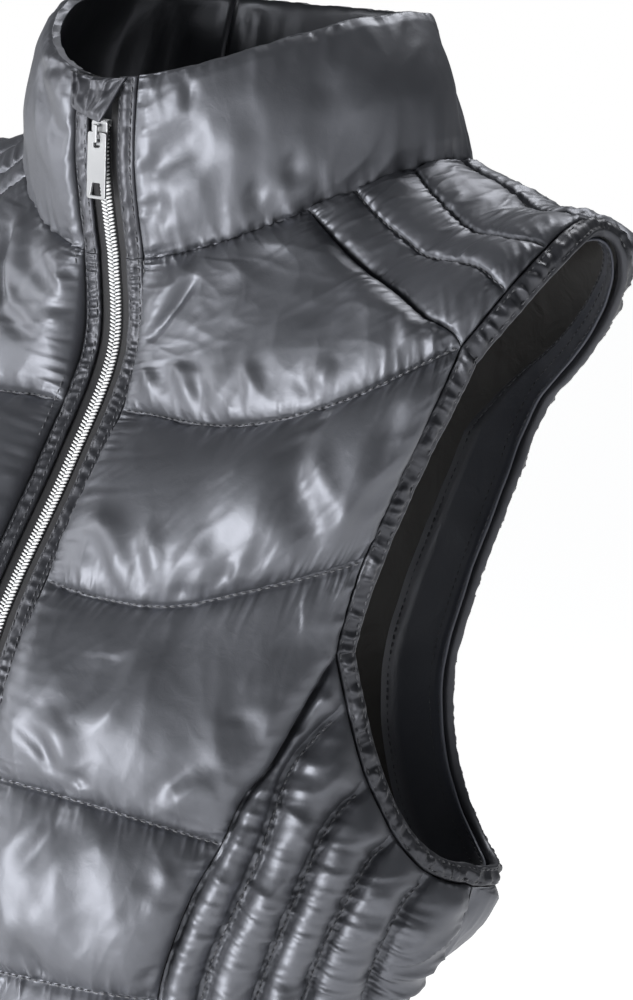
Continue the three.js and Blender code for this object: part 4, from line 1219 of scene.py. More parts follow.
@dataclass
class YokePanel:
    """A padded shoulder piece with four channels from the neck to the armhole."""

    side: Side
    seed: int
    detail: float
    creases: tuple[Crease, ...] = ()

    def build(self) -> bpy.types.Object:
        """Returns the dressed panel."""
        v = crowd(thirds(108 * self.detail), 0.25)[None, :]
        w = 1 - v
        from_neck, from_arm = w * YOKE_LONG, v * YOKE_LONG
        nearest_end = np.minimum(from_neck, from_arm)
        top = ARM["top"]
        ends = [0.0, *(top.share_at(0, angle) for angle in (68, 77, 90)), 1.0]
        relief = Relief(self.seed, self.creases)
        cols = []
        for k in range(4):
            a = crowd(thirds(30 * self.detail), 0.5)
            a = (a if k == 3 else a[:-1])[:, None]
            phi_arm, t_arm = top.along(lerp(ends[k], ends[k + 1], a))
            t = lerp(NECK, t_arm, w)

            def course(at: Array) -> Array:
                """Returns the angle of this column without its turn into the armhole."""
                return lerp(smooth(YOKE_RAILS[k], at), smooth(YOKE_RAILS[k + 1], at), a)

            phi = course(w) + (phi_arm - course(np.ones(1))) * w**6
            if k == 0:
                phi = np.where(a == 0, front_edge(t), phi)
            gap = smooth(YOKE_RAILS[k + 1], w) - smooth(YOKE_RAILS[k], w)
            fade = edge_fade(from_neck, 10) * edge_fade(from_arm, 10)
            x, y = phi * MM_PER_DEGREE, t * MM_PER_RING
            left, right = a * gap * YOKE_MM_PER_DEGREE, (1 - a) * gap * YOKE_MM_PER_DEGREE
            seed = self.seed + 100 * k
            dents = (seam_puckers(y, left, seed, 0.5, 0.3)
                     + seam_puckers(y, right, seed + 11, 0.5, 0.3))
            ends_gather = (seam_puckers(x, from_neck, seed + 21, 0.7, 0.3)
                           + seam_puckers(x, from_arm, seed + 31, 0.8, 0.4))
            inside = step01(np.minimum(left, right), 0, 3) * step01(nearest_end, 0, 5)
            rest = inside * (0.5 * relief.lumps(x, y) + 0.6 * relief.crinkle(x, y)
                             + 1.2 * folds(x, y, 12, 26, 11, seed + 3) + relief.placed(x, y))
            high = (SEAM_OUT + YOKE_PUFF * channel(left, right, 0.4, 0.7) * fade
                    + dents * step01(nearest_end, 0, 6)
                    + ends_gather * step01(np.minimum(left, right), 0, 4) + rest)
            cols.append((phi, t, np.maximum(high, LEAST_RISE)))
        phi, t, high = (np.concatenate([c[k] for c in cols]) for k in range(3))
        obj = Shell(phi, t, high).build(f"yoke_{self.side.word}_quilted", self.side)
        return dress(obj, (SHELL, LINING), [f"yoke_{self.side.word}"])


SIDE_SEAM_TOP = 5.03
SIDE_SEAM_SHARE = 0.5
BLADE_SHARE = 0.4


def back_edge(row: int, v: Array) -> tuple[Array, Array]:
    """Returns the outer edge of the back: side seam, round the armhole, yoke seam.

    Args:
        row: Number of the channel from the hem up.
        v: Share of the channel's height.

    Returns:
        Angle and ring of the edge.
    """
    arm = ARM["back"]

    def meet(k: int) -> float:
        """Returns the share of the armhole's back edge at which a channel seam meets it."""
        return float(arm.long[BACK_MEETS[k] * arm.steps] / arm.long[-1])

    if row < 4:
        return np.full_like(v, SIDE_SEAM), lerp(BACK_ROWS[row], BACK_ROWS[row + 1], v)
    if row == 4:
        turn = SIDE_SEAM_SHARE
        phi, t = arm.along(meet(1) * np.maximum(0, v - turn) / (1 - turn))
        low = lerp(BACK_ROWS[4], SIDE_SEAM_TOP, np.minimum(v / turn, 1))
        return np.where(v <= turn, SIDE_SEAM, phi), np.where(v <= turn, low, t)
    if row < 7:
        return arm.along(lerp(meet(row - 4), meet(row - 3), v))
    turn = BLADE_SHARE
    phi, t = arm.along(lerp(meet(3), 1, np.minimum(v / turn, 1)))
    w = np.minimum((1 - v) / (1 - turn), 1)
    return (np.where(v <= turn, phi, smooth(YOKE_RAILS[4], w)),
            np.where(v <= turn, t, lerp(NECK, 7.2, w)))


@dataclass
class BackPanel:
    """The padded back with cross channels, from side seam to side seam."""

    seed: int
    detail: float
    ROW_DETAIL = (33, 33, 33, 33, 60, 45, 33, 66)
    RISE = (50, 50, 70, 110, 110)

    def build(self) -> bpy.types.Object:
        """Returns the dressed panel; its right half mirrors the left one's seams."""
        u = (1 - np.cos(np.linspace(0, np.pi / 2, thirds(72 * self.detail) + 1)))[:, None]
        parts = []
        for row, count in enumerate(self.ROW_DETAIL):
            v = crowd(thirds(count * self.detail), 0.35)[None, :]
            parts.append(self.row(row, u, v if row == 7 else v[:, :-1]))
        phi, t, v, wide = (np.concatenate([p[k] for p in parts], 1) for k in range(4))
        rows = np.concatenate([np.full(p[0].shape[1], k) for k, p in enumerate(parts)])
        phi = np.concatenate([phi, 360 - phi[-2::-1]])
        t, v, wide = (np.concatenate([g, g[-2::-1]]) for g in (t, v, wide))
        x, y = phi * MM_PER_DEGREE, t * MM_PER_RING
        tall = np.diff(BACK_ROWS)[rows][None, :] * MM_PER_RING
        relief = Relief(self.seed, BACK_CREASES)
        on_seams = (seam_puckers(x, v * tall + 0 * x, self.seed, 1.0, 1.0)
                    + seam_puckers(x, (1 - v) * tall, self.seed + 11, 0.9, 0.35))
        on_edges = seam_puckers(y, wide, self.seed + 21, 0.8, 0.6)
        edge = np.minimum(np.minimum(v, 1 - v) * tall, wide)
        rest = step01(edge, 0, 6) * (relief.lumps(x, y) + relief.crinkle(x, y)
                                     + relief.placed(x, y))
        rise = np.array((*self.RISE, 1, 1, 1), float)[rows][None, :]
        fade = np.where(rows < len(self.RISE), step01(wide / rise, 0, 1), edge_fade(wide, 22))
        high = (SEAM_OUT + BACK_PUFF * channel(v * tall, (1 - v) * tall) * fade
                + on_seams * step01(wide, 0, 6)
                + on_edges * step01(np.minimum(v, 1 - v) * tall, 0, 5) + rest)
        obj = Shell(phi, t, np.maximum(high, LEAST_RISE)).build("back_quilted")
        return dress(obj, (SHELL, LINING), ["back"])

    def row(self, row: int, u: Array, v: Array) -> tuple[Array, Array, Array, Array]:
        """Returns angle, ring, share across the channel and distance from the outer edge.

        Args:
            row: Number of the channel from the hem up.
            u: Share of the way from the edge to the middle.
            v: Share of the channel's height.

        Returns:
            The four values at each grid point.
        """
        phi_edge, t_edge = back_edge(row, v)
        phi = lerp(phi_edge, 180, u)
        t = lerp(t_edge, lerp(BACK_ROWS[row], BACK_ROWS[row + 1], v), u**0.8)
        return phi, t, v + 0 * u, u * (180 - phi_edge) * MM_PER_DEGREE


COLLAR_PROFILE = [
    (0, 0), (0.06, 0.34), (0.2, 0.8), (0.45, 1), (0.7, 0.92), (0.88, 0.7), (0.97, 0.28), (1, -0.12),
]
COLLAR_SEAM = 143.0


@dataclass
class CollarPiece:
    """One padded piece of the stand collar, with a rounded top edge."""

    name: str
    side: Side
    seed: int
    detail: float
    creases: tuple[Crease, ...] = ()

    def build(self) -> bpy.types.Object:
        """Returns the dressed piece; the back piece spans the middle between both seams."""
        v = (1 - np.cos(np.linspace(0, np.pi, thirds(78 * self.detail) + 1)))[None, :] / 2
        t = NECK + v * 0.998
        back = self.name == "collar_back"
        if back:
            u = crowd(thirds(96 * self.detail), 0.3)[:, None]
            phi = lerp(COLLAR_SEAM + 0.4, 360 - COLLAR_SEAM - 0.4, u) + 0 * v
            near = np.minimum(phi - COLLAR_SEAM, 360 - COLLAR_SEAM - phi) * COLLAR_MM_PER_DEGREE
        else:
            u = crowd(thirds(180 * self.detail), 0.3)[:, None]
            phi = lerp(angle_at_width(PANEL_START, t), COLLAR_SEAM, u)
            near = np.minimum(u, 1 - u) * COLLAR_LONG
        t = t + 0 * u
        wavy = (0.03 * noise(phi / 9, 0 * phi, self.seed + 71)
                + 0.014 * noise(phi / 3.4, 0 * phi, self.seed + 72))
        t = t + wavy * v**3 * step01(near, 2, 16)
        x, y = phi * COLLAR_MM_PER_DEGREE, v * COLLAR_TALL + 0 * u
        relief = Relief(self.seed, self.creases)
        profile = np.interp(v, *np.array(COLLAR_PROFILE).T)
        reach = edge_fade(near, 8)
        puckers = (seam_puckers(x, y, self.seed, 1.5, 0.5)
                   + seam_puckers(x, COLLAR_TALL - y, self.seed + 11, 0.7, 0.3)
                   + seam_puckers(y, near, self.seed + 21, 0.9, 0.3))
        soft = (0.6 * relief.lumps(x, y) + 0.8 * relief.crinkle(x, y)
                + 1.2 * folds(x, y, 62, 46, 17, self.seed + 3))
        creases = relief.placed(phi * MM_PER_DEGREE, t * MM_PER_RING)
        edge = np.minimum(np.minimum(y, COLLAR_TALL - y), near)
        high = (SEAM_OUT + COLLAR_PUFF * profile * lerp(0.25, 1, reach)
                + puckers * step01(edge, 0, 1.5) + (soft + creases) * step01(edge, 0, 5))
        inside = (1.6 * folds(x, y, 74, 60, 19, self.seed + 9)
                  + 1.2 * noise(x / 24, y / 40, self.seed + 8))
        low = (np.interp(v, [0, 0.02, 0.94, 1], [-1.4, -2.2, -2.2, -1.3]) - 0.5 * reach
               + inside * step01(edge, 2, 12))
        obj = Shell(phi, t, np.maximum(high, -1.2 + 1.5 * (v < 0.9)), low).build(
            f"{self.name}_quilted", self.side)
        # The inner face takes the darker nylon, which is painted shade inside the collar
        return dress(obj, (SHELL, COLLAR_NYLON_PAINTED_SHADE), [self.name])


# Armhole band and facing

BAND_WIDTH = 8.0
FACING_DEPTH = 15.0
BACK_FACING_EXTRA = 0.5
FACING_STITCHES = ((6.2, -4.2), (0.4, -4.85), (-13.4, -5.95))
LOOP_STATIONS = 880


def armhole_loop(count: int) -> Array:
    """Returns (angle, ring) points once round the left armhole, evenly spaced.

    Args:
        count: Number of points.

    Returns:
        One row for each point.
    """
    ring = np.linspace(PRINCESS_TOP, YOKE_CORNER, 120)
    down = np.linspace(1, 0, 200)
    flat = np.concatenate([
        np.stack([front_edge(ring), ring], 1),
        np.stack(ARM["top"].along(np.linspace(0, 1, 160)), 1)[1:],
        np.stack(ARM["back"].along(down), 1)[1:],
        np.stack(ARM["bottom"].along(down), 1)[1:],
    ])
    long = run_length(point(flat[:, 0], flat[:, 1]))
    return at_length(np.arange(count) / count * long[-1], long, flat)


def closed_row(line: Array, loop: Array) -> tuple[Array, Array]:
    """Returns a closed line of stitches beside a loop, with the directions out of the cloth.

    Args:
        line: Points of the line.
        loop: (angle, ring) of each station.

    Returns:
        The points and directions, with the first repeated last.
    """
    out = wall(loop[:, 0], loop[:, 1])
    return np.concatenate([line, line[:1]]), np.concatenate([out, out[:1]])


def beside(loop: Array, width: Array, high: Array) -> Array:
    """Returns points beside a closed loop on the surface.

    Args:
        loop: (angle, ring) of each station.
        width: Distance into the opening, for each station and each place across.
        high: Height over the surface, in the same shape.

    Returns:
        Points in millimetres.
    """
    here = point(loop[:, 0], loop[:, 1])
    run = unit(np.roll(here, -1, 0) - np.roll(here, 1, 0))
    across, up = slopes(loop[:, 0], loop[:, 1], False)
    inward = np.cross(run, unit(np.cross(across, up)))
    aa, ab, bb = ((p * q).sum(-1) for p, q in ((across, across), (across, up), (up, up)))
    ra, rb = (across * inward).sum(-1), (up * inward).sum(-1)
    det = aa * bb - ab * ab
    phi = loop[:, :1] + width * ((ra * bb - rb * ab) / det)[:, None]
    t = loop[:, 1:] + width * ((aa * rb - ab * ra) / det)[:, None]
    return point(phi, t) + wall(phi, t) * high[..., None]


BAND_PROFILE = [
    (0.35, 1.3), (0.5, 1.9), (1.0, 2.35), (1.6, 2.15), (2.3, 2.75), (3.4, 3.3), (4.5, 3.3),
    (5.6, 2.75), (6.4, 2.1), (7.1, 2.3), (7.7, 1.9), (8.0, 1.0),
]
BAND_STITCHES = (1.6, 6.4)
BAND_STITCH_RISE = 2.15


@dataclass
class ArmholeBand:
    """The narrow stitched band round an armhole, puckered between its two stitch rows."""

    side: Side
    seed: int

    def build(self) -> list[bpy.types.Object]:
        """Returns the band and its stitches."""
        loop = armhole_loop(LOOP_STATIONS)
        place = np.arange(LOOP_STATIONS)[:, None] * 0.8
        width = np.array([w for w, _ in BAND_PROFILE])[None, :]
        rise = np.array([h for _, h in BAND_PROFILE])[None, :]
        pucker = ridges(place / 7 + 0.5 * noise(place / 19, 0 * place, self.seed + 1),
                        width / 9, self.seed) ** 2
        middle = np.exp(-((width - 4) / 2.6) ** 2)
        fine = ridges(place / 2.9, width / 12, self.seed + 6) ** 2
        high = rise + (2.8 * (pucker - 0.5) + 0.7 * (fine - 0.5)
                       + 0.5 * noise(place / 15, width / 5, self.seed + 2)) * middle
        high = high + 0.25 * noise(place / 6, width / 3, self.seed + 3)
        width = width + 0.25 * noise(place / 12, width / 9, self.seed + 4) * (width > 0.6)
        top = beside(loop, width, high)
        under = beside(loop, np.array([[BAND_WIDTH - 0.3, 4.0, 0.35]]) + 0 * place,
                       np.array([[-1.4, -1.4, -1.4]]) + 0 * place)
        obj = sections(f"armhole_band_{self.side.word}_sewn", np.concatenate([top, under], 1), True,
                       self.side)
        dress(obj, (TRIM,), [f"armhole_band_{self.side.word}"])
        column = np.ones((LOOP_STATIONS, 1))
        rows = [closed_row(beside(loop, column * width_at, column * BAND_STITCH_RISE)[:, 0], loop)
                for width_at in BAND_STITCHES]
        return [obj, sew(f"armhole_band_{self.side.word}_stitches", rows, self.side)]


@dataclass
class ArmholeFacing:
    """The dark strip inside an armhole, with three lines of stitches."""

    side: Side
    seed: int

    def build(self) -> list[bpy.types.Object]:
        """Returns the facing and its stitches."""
        loop = armhole_loop(LOOP_STATIONS // 4)
        place = np.arange(len(loop))[:, None] * 3.2
        deep = 1 + BACK_FACING_EXTRA * np.clip((loop[:, :1] - 128) / 10, 0, 1)
        narrow = np.clip((7 - loop[:, 1:]) / 0.35, 0.3, 1) * deep
        width = np.array([[BAND_WIDTH - 0.6, 3.0, -1.0, -5.0, -10.0, -FACING_DEPTH]])
        high = np.array([[-3.0, -3.5, -4.0, -4.3, -4.65, -5.0]]) + 0 * place
        width = np.where(width < -2, width * narrow, width)
        wave = 0.35 * noise(place / 14, width / 12, self.seed)
        back_width, back_high = width[:, ::-1], high[:, ::-1] - 1.0
        rings = np.concatenate([beside(loop, width, high + wave),
                                beside(loop, back_width, back_high + wave[:, ::-1])], 1)
        obj = sections(f"armhole_facing_{self.side.word}_sewn", rings, True, self.side)
        dress(obj, (FACING,), [f"armhole_facing_{self.side.word}"])
        rows = []
        for place_in, drop in FACING_STITCHES:
            stretch = narrow if place_in < -2 else 1 + 0 * narrow
            line = beside(loop, place_in * stretch, drop + wave[:, 3:4])
            rows.append(closed_row(line[:, 0], loop))
        stitches = sew(f"armhole_facing_{self.side.word}_stitches", rows, self.side, DARK_THREAD)
        return [obj, stitches]


# Sewing


def sew(name: str, rows: Sequence[tuple[Array, Array]], side: Side = Side.LEFT,
        finish: Finish = THREAD, pitch: float = 3.1) -> bpy.types.Object:
    """Returns stitches along lines, as small beads that lie in the seams.

    Args:
        name: Name of the object.
        rows: For each line its points and the directions out of the cloth.
        side: The right side is a mirror image.
        finish: The thread.
        pitch: Length from one stitch to the next.

    Returns:
        The dressed stitches.
    """
    places, axes = [], []
    for line, out in rows:
        long = run_length(line)
        count = max(2, int(long[-1] / pitch))
        want = (np.arange(count) + 0.5) / count * long[-1]
        up = unit(at_length(want, long, out))
        run = unit(at_length(want + 0.6, long, line) - at_length(want - 0.6, long, line))
        cross = unit(np.cross(run, up))
        places.append(at_length(want, long, line))
        axes.append(np.stack([cross * 0.4, np.cross(cross, run) * -0.4, run * pitch * 0.38], 1))
    verts, faces = bead(4, 4)
    spots, turns = np.concatenate(places), np.concatenate(axes)
    det = np.linalg.det(turns)
    turns[det < 0, 0] *= -1
    if side is Side.RIGHT:
        spots, turns = spots * (-1, 1, 1), turns * (-1, 1, 1)
        turns[:, 0] *= -1
    return dress(scatter(name, verts, faces, spots, turns), (finish,))


def seam_line(phi: Array, t: Array, high: float = SEAM_OUT + 0.25) -> tuple[Array, Array]:
    """Returns a line of points over the surface with the directions out of it."""
    out = wall(phi, t)
    return point(phi, t) + out * high, out


@dataclass
class Sewing:
    """The stitches along the channel seams and panel seams of one half, and across the back."""

    side: Side

    def build(self) -> bpy.types.Object:
        """Returns the stitches of one half as one object."""
        u = np.linspace(0.01, 0.99, 90)
        rows = []
        for row in range(1, 8):
            t = cross_seam(row, u)
            start, end = angle_at_width(PANEL_START, t), front_edge(t)
            rows.append(seam_line(lerp(start, end, u), t))
        height = np.linspace(0.01, 0.99, 160) * PRINCESS_TOP
        bottom = ARM["bottom"]
        for k, rail in enumerate(SIDE_RAILS[1:-1]):
            phi_top, t_top = bottom.along(bottom.share_at(0, rail[-1][1]))
            t = t_top * height / PRINCESS_TOP
            phi = smooth(rail, t) + (phi_top - smooth(rail, t_top)) * (height / PRINCESS_TOP) ** 8
            rows.append(seam_line(phi, t))
        w = np.linspace(0.01, 0.99, 60)
        top = ARM["top"]
        for rail in YOKE_RAILS[1:-1]:
            phi_arm, t_arm = top.along(top.share_at(0, rail[-1][1]))
            phi = smooth(rail, w) + (phi_arm - smooth(rail, 1.0)) * w**6
            rows.append(seam_line(phi, lerp(NECK, t_arm, w)))
        for row in range(1, 8):
            phi_edge, t_edge = back_edge(row, np.zeros(1))
            rows.append(seam_line(lerp(phi_edge, 180, u), lerp(t_edge, BACK_ROWS[row], u**0.8)))
        edge = np.linspace(0.02, 8.98, 420)
        rows.append(seam_line(angle_at_width(PANEL_START + 1.5, edge), edge, SEAM_OUT + 2.6))
        return sew(f"quilting_{self.side.word}_stitches", rows, self.side)


# Front closure

STRIP_PROFILE = [
    (7.4, 0.2), (7.5, 1.4), (8.0, 1.9), (8.7, 1.75), (9.6, 2.5), (11.0, 2.9), (12.4, 2.5),
    (13.4, 1.7), (14.2, 1.8), (15.0, 1.4), (15.2, 0.2),
]
STRIP_STITCHES = (8.7, 13.4)
CHAIN_HALF = 2.9


@dataclass
class ClosureHalf:
    """The gathered strip and the zip tape of one side of the front."""

    side: Side
    seed: int

    def line(self, x: float, high: float) -> tuple[Array, Array]:
        """Returns a line up the front at a width and height."""
        t = np.linspace(0.01, 9.98, 900)
        return seam_line(angle_at_width(x, t), t, high)

    def swept(self, t: Array, x: Array, high: Array) -> Array:
        """Returns section points at each ring number."""
        phi = angle_at_width(x, t)
        return point(phi, t) + wall(phi, t) * high[..., None]

    def build(self) -> list[bpy.types.Object]:
        """Returns strip, stitches and tape."""
        t = np.concatenate([np.linspace(0.004, 5, 240), np.linspace(5, 9.99, 460)[1:]])[:, None]
        y = t * MM_PER_RING
        x = np.array([w for w, _ in STRIP_PROFILE])[None, :]
        rise = np.array([h for _, h in STRIP_PROFILE])[None, :]
        middle = np.exp(-((x - 11) / 2.4) ** 2)
        pucker = ridges(y / 6.5 + x / 14, x / 9, self.seed) ** 2 - 0.5
        high = rise + (1.5 * pucker + 0.5 * noise(y / 14, x / 8, self.seed + 1)) * middle
        high = high + 0.25 * noise(y / 5, x / 3, self.seed + 2)
        wide = x + 0.35 * noise(y / 17, x / 20, self.seed + 3) * (x > 7.45) * (x < 15.1)
        rings = self.swept(t, wide, high)
        strip = sections(f"zip_strip_{self.side.word}_gathered", rings, False, self.side)
        dress(strip, (TRIM,), [f"zip_strip_{self.side.word}"])
        rows = [self.line(place, 1.95) for place in STRIP_STITCHES]
        stitches = sew(f"zip_strip_{self.side.word}_stitches", rows, self.side)
        x = np.array([[3.2, 3.2, 3.5, 14.6, 14.6]])
        high = np.array([[-1.2, -0.5, -0.3, -0.3, -1.2]]) + 0 * t[::4]
        rings = self.swept(t[::4], x + 0 * t[::4], high)
        tape = sections(f"zip_tape_{self.side.word}_woven", rings, False, self.side)
        dress(tape, (TAPE,), [f"zip_tape_{self.side.word}"])
        return [strip, stitches, tape]


@dataclass
class ZipChain:
    """Two rows of teeth that mesh in the middle, over a dark core."""

    pitch: float = 1.5

    def build(self) -> list[bpy.types.Object]:
        """Returns the teeth and their core."""
        t = np.linspace(0.01, ZIP_TOP + 0.03, 1200)
        line = point(0 * t, t)
        out = wall(0 * t, t)
        long = run_length(line)
        count = int(long[-1] / self.pitch * 2)
        want = (np.arange(count) + 0.5) * self.pitch / 2
        at = at_length(want, long, line)
        up = unit(at_length(want, long, out))
        run = unit(np.gradient(at, axis=0))
        hand = np.where(np.arange(count) % 2 == 0, 1.0, -1.0)[:, None]
        across = np.tile([1.0, 0, 0], (count, 1))
        tilt = unit(across + 0.32 * hand * run)
        places = at + across * hand * 1.35 + up * 0.35
        axes = np.stack([tilt * 1.75, np.cross(up, tilt) * 0.52, up * 0.75], 1)
        flip = np.linalg.det(axes) < 0
        axes[flip, 1] *= -1
        verts, faces = bead(8, 5)
        cap = np.concatenate([verts, [[0, 0, -1.0], [0, 0, 1.0]]])
        low, top = np.arange(8), np.arange(32, 40)
        ends = [np.stack([np.roll(low, -1), low, np.full(8, 40), np.full(8, 40)], 1)[:, :3],
                np.stack([top, np.roll(top, -1), np.full(8, 41)], 1)]
        tris = np.concatenate([faces[:, [0, 1, 2]], faces[:, [0, 2, 3]], *ends])
        teeth = scatter("zip_teeth", cap, tris, places, axes)
        dress(teeth, (COIL,), ["zip_chain"])
        ring = np.linspace(0.01, ZIP_TOP + 0.03, 200)[:, None]
        x = np.array([[-CHAIN_HALF, -CHAIN_HALF, CHAIN_HALF, CHAIN_HALF]]) + 0 * ring
        high = np.array([[-1.2, -0.45, -0.45, -1.2]]) + 0 * ring
        phi = angle_at_width(x, ring)
        core = sections("zip_core", point(phi, ring) + wall(phi, ring) * high[..., None], False)
        return [teeth, dress(core, (TAPE,))]


ZIP_MIDDLE = point(0.0, ZIP_TOP)
ZIP_OUT = unit(np.cross(*tangents(np.zeros(1), np.full(1, ZIP_TOP))))[0]
ZIP_UP = -unit(np.cross([1.0, 0, 0], ZIP_OUT))


def zip_matrix() -> Matrix:
    """Returns the slider's frame: x across, y up the zip, z out of the vest, in metres."""
    cols = [Vector((1, 0, 0)), Vector(ZIP_UP), Vector(ZIP_OUT)]
    mat = Matrix([[c[k] for c in cols] for k in range(3)]).to_4x4()
    mat.translation = Vector(ZIP_MIDDLE * MM)
    return mat


def plate(name: str, outline: Sequence[tuple[float, float]], holes: Sequence, low: float,
          high: float, bevel: float) -> bpy.types.Object:
    """Returns a flat plate with bevelled edges and holes, in the slider's frame.

    Args:
        name: Name of the object.
        outline: Corners of the outer edge in millimetres.
        holes: Corners of each hole.
        low: Distance of the lower face from the zip's surface.
        high: Distance of the upper face.
        bevel: Size of the rounded edge.

    Returns:
        The linked object.
    """
    curve = bpy.data.curves.new(name, "CURVE")
    curve.dimensions = "2D"
    curve.fill_mode = "BOTH"
    curve.extrude = ((high - low) / 2 - bevel) * MM
    curve.bevel_depth = bevel * MM
    curve.bevel_resolution = 2
    curve.offset = -bevel * MM
    for loop in (outline, *holes):
        line = curve.splines.new("POLY")
        line.points.add(len(loop) - 1)
        for spot, (x, y) in zip(line.points, loop):
            spot.co = (x * MM, y * MM, 0, 1)
        line.use_cyclic_u = True
    source = link(bpy.data.objects.new(name + "_curve", curve))
    mesh = bpy.data.meshes.new_from_object(source.evaluated_get(
        bpy.context.evaluated_depsgraph_get()))
    bpy.data.objects.remove(source)
    work = bmesh.new()
    work.from_mesh(mesh)
    bmesh.ops.remove_doubles(work, verts=work.verts, dist=1e-6)
    bmesh.ops.recalc_face_normals(work, faces=work.faces)
    work.to_mesh(mesh)
    work.free()
    mesh.transform(zip_matrix() @ Matrix.Translation((0, 0, (low + high) / 2 * MM)))
    mesh.name = name
    return link(bpy.data.objects.new(name, mesh))


def rounded(corners: Sequence[tuple[float, float]], radius: float, steps: int = 4) -> list:
    """Returns an outline with each corner rounded by a small curve.

    Args:
        corners: Corners in order.
        radius: Distance at which a curve starts.
        steps: Pieces of each curve.

    Returns:
        The outline's points.
    """
    pts = np.array(corners, float)
    out = []
    for k, corner in enumerate(pts):
        aft, fore = pts[k - 1] - corner, pts[(k + 1) % len(pts)] - corner
        a = corner + aft / np.linalg.norm(aft) * min(radius, np.linalg.norm(aft) * 0.45)
        b = corner + fore / np.linalg.norm(fore) * min(radius, np.linalg.norm(fore) * 0.45)
        for s in np.linspace(0, 1, steps + 1):
            out.append(tuple((1 - s) ** 2 * a + 2 * s * (1 - s) * corner + s * s * b))
    return out


TAB_WIDTH = 9.6
TAB_LENGTH = 26.0
TAB_THICK = 1.0
PIVOT_OUT = 3.8


@dataclass
class ZipPull:
    """The slider with its bridge, and the plain flat tab that hangs from it."""

    def slider(self) -> list[bpy.types.Object]:
        """Returns the slider's parts."""
        shield = [(-4.1, 5), (-4.1, -2.4), (-3.0, -5), (3.0, -5), (4.1, -2.4), (4.1, 5)]
        neck = [(-1.2, 5), (-1.2, 3.4), (1.2, 3.4), (1.2, 5)]
        leg = [(-1, 1), (-1, -0.1), (1, -0.1), (1, 1)]
        parts = [
            ("zip_slider_plate", rounded(shield, 1.2), 1.8, 2.9, 0.3, ["zip_slider"]),
            ("zip_slider_base", rounded(shield, 1.2), -3.1, -1.9, 0.3, []),
            ("zip_slider_post", rounded(neck, 0.4), -2.2, 2.2, 0.2, []),
            *((f"zip_slider_leg_{word}", rounded([(x, y + up) for x, y in leg], 0.3), 2.6, 5.3,
               0.2, []) for word, up in (("high", 2.6), ("low", -3.5))),
            ("zip_slider_bridge", rounded([(-1, 3.6), (-1, -3.6), (1, -3.6), (1, 3.6)], 0.6),
             4.75, 5.6, 0.3, []),
        ]
        made = []
        for name, outline, low, high, bevel, nodes in parts:
            made.append(dress(plate(name, outline, [], low, high, bevel), (METAL,), nodes))
        return made

    def tab(self) -> bpy.types.Object:
        """Returns the tab, a bare plate with a slot for the bridge and a window at its foot."""
        half, foot = TAB_WIDTH / 2, 0.5 - TAB_LENGTH
        outline = rounded([(-half, 0.5), (-half, foot), (half, foot), (half, 0.5)], 1.3)
        slot = rounded([(-1.7, -5.6), (1.7, -5.6), (1.7, -0.5), (-1.7, -0.5)], 0.8)
        window = rounded([(-2.9, foot + 1.3), (2.9, foot + 1.3), (2.0, foot + 6.2),
                          (-2.0, foot + 6.2)], 0.5)
        low, high = PIVOT_OUT - TAB_THICK / 2, PIVOT_OUT + TAB_THICK / 2
        obj = plate("pull_tab_plate", outline, [slot, window], low, high, 0.16)
        return dress(obj, (METAL,), ["pull_tab"], "pull_tab")


@dataclass
class ZipGarage:
    """The gathered flap at the collar's top edge that covers the slider."""

    seed: int

    def build(self) -> bpy.types.Object:
        """Returns the dressed flap; its gathers run from the top edge down to the zip."""
        u = crowd(60, 0.2)[:, None]
        v = crowd(48, 0.2)[None, :]
        x = lerp(lerp(-10, 3.4, u), lerp(-15, 12.4, u), v**0.8)
        t = lerp(lerp(9.765, 9.71, u), 9.985, v)
        rise = np.interp(v * 5, np.arange(6), [8, 7.4, 6.6, 5.9, 5.4, 5])
        low = np.interp(v * 5, np.arange(6), [6.1, 5.4, 4.6, 3.9, 3.5, 3.3]) + 0 * u
        fan = u * 26 + 0 * v
        bent = fan / 4.4 + 0.3 * noise(fan / 9, v * 3, self.seed + 1)
        pleats = (ridges(bent, v * 0.7, self.seed) ** 1.6 - 0.5) * (0.35 + 0.65 * v)
        edge = step01(np.minimum(np.minimum(u, 1 - u) * 22, np.minimum(v, 1 - v) * 18), 0, 2.5)
        high = rise + edge * (3.0 * pleats + 0.5 * noise(fan / 4, v * 4, self.seed + 2))
        phi = angle_at_width(x, t)
        obj = Shell(phi, t, high, low).build("zip_garage_gathered")
        return dress(obj, (TRIM, TRIM), ["zip_garage"])


# Studio

FILM_HEIGHT = 36


@dataclass(frozen=True)
class Lamp:
    """A soft rectangular light that looks at the vest's middle."""

    name: str
    place: tuple[float, float, float]
    size: float
    power: float

    def build(self, target: Vector) -> None:
        """Adds the light to the scene.

        Args:
            target: Point that the light looks at.
        """
        data = bpy.data.lights.new(self.name, "AREA")
        data.shape = "RECTANGLE"
        data.size = data.size_y = self.size
        data.energy = self.power
        obj = link(bpy.data.objects.new(self.name, data))
        obj.location = self.place
        obj.rotation_euler = (target - Vector(self.place)).to_track_quat("-Z", "Y").to_euler()


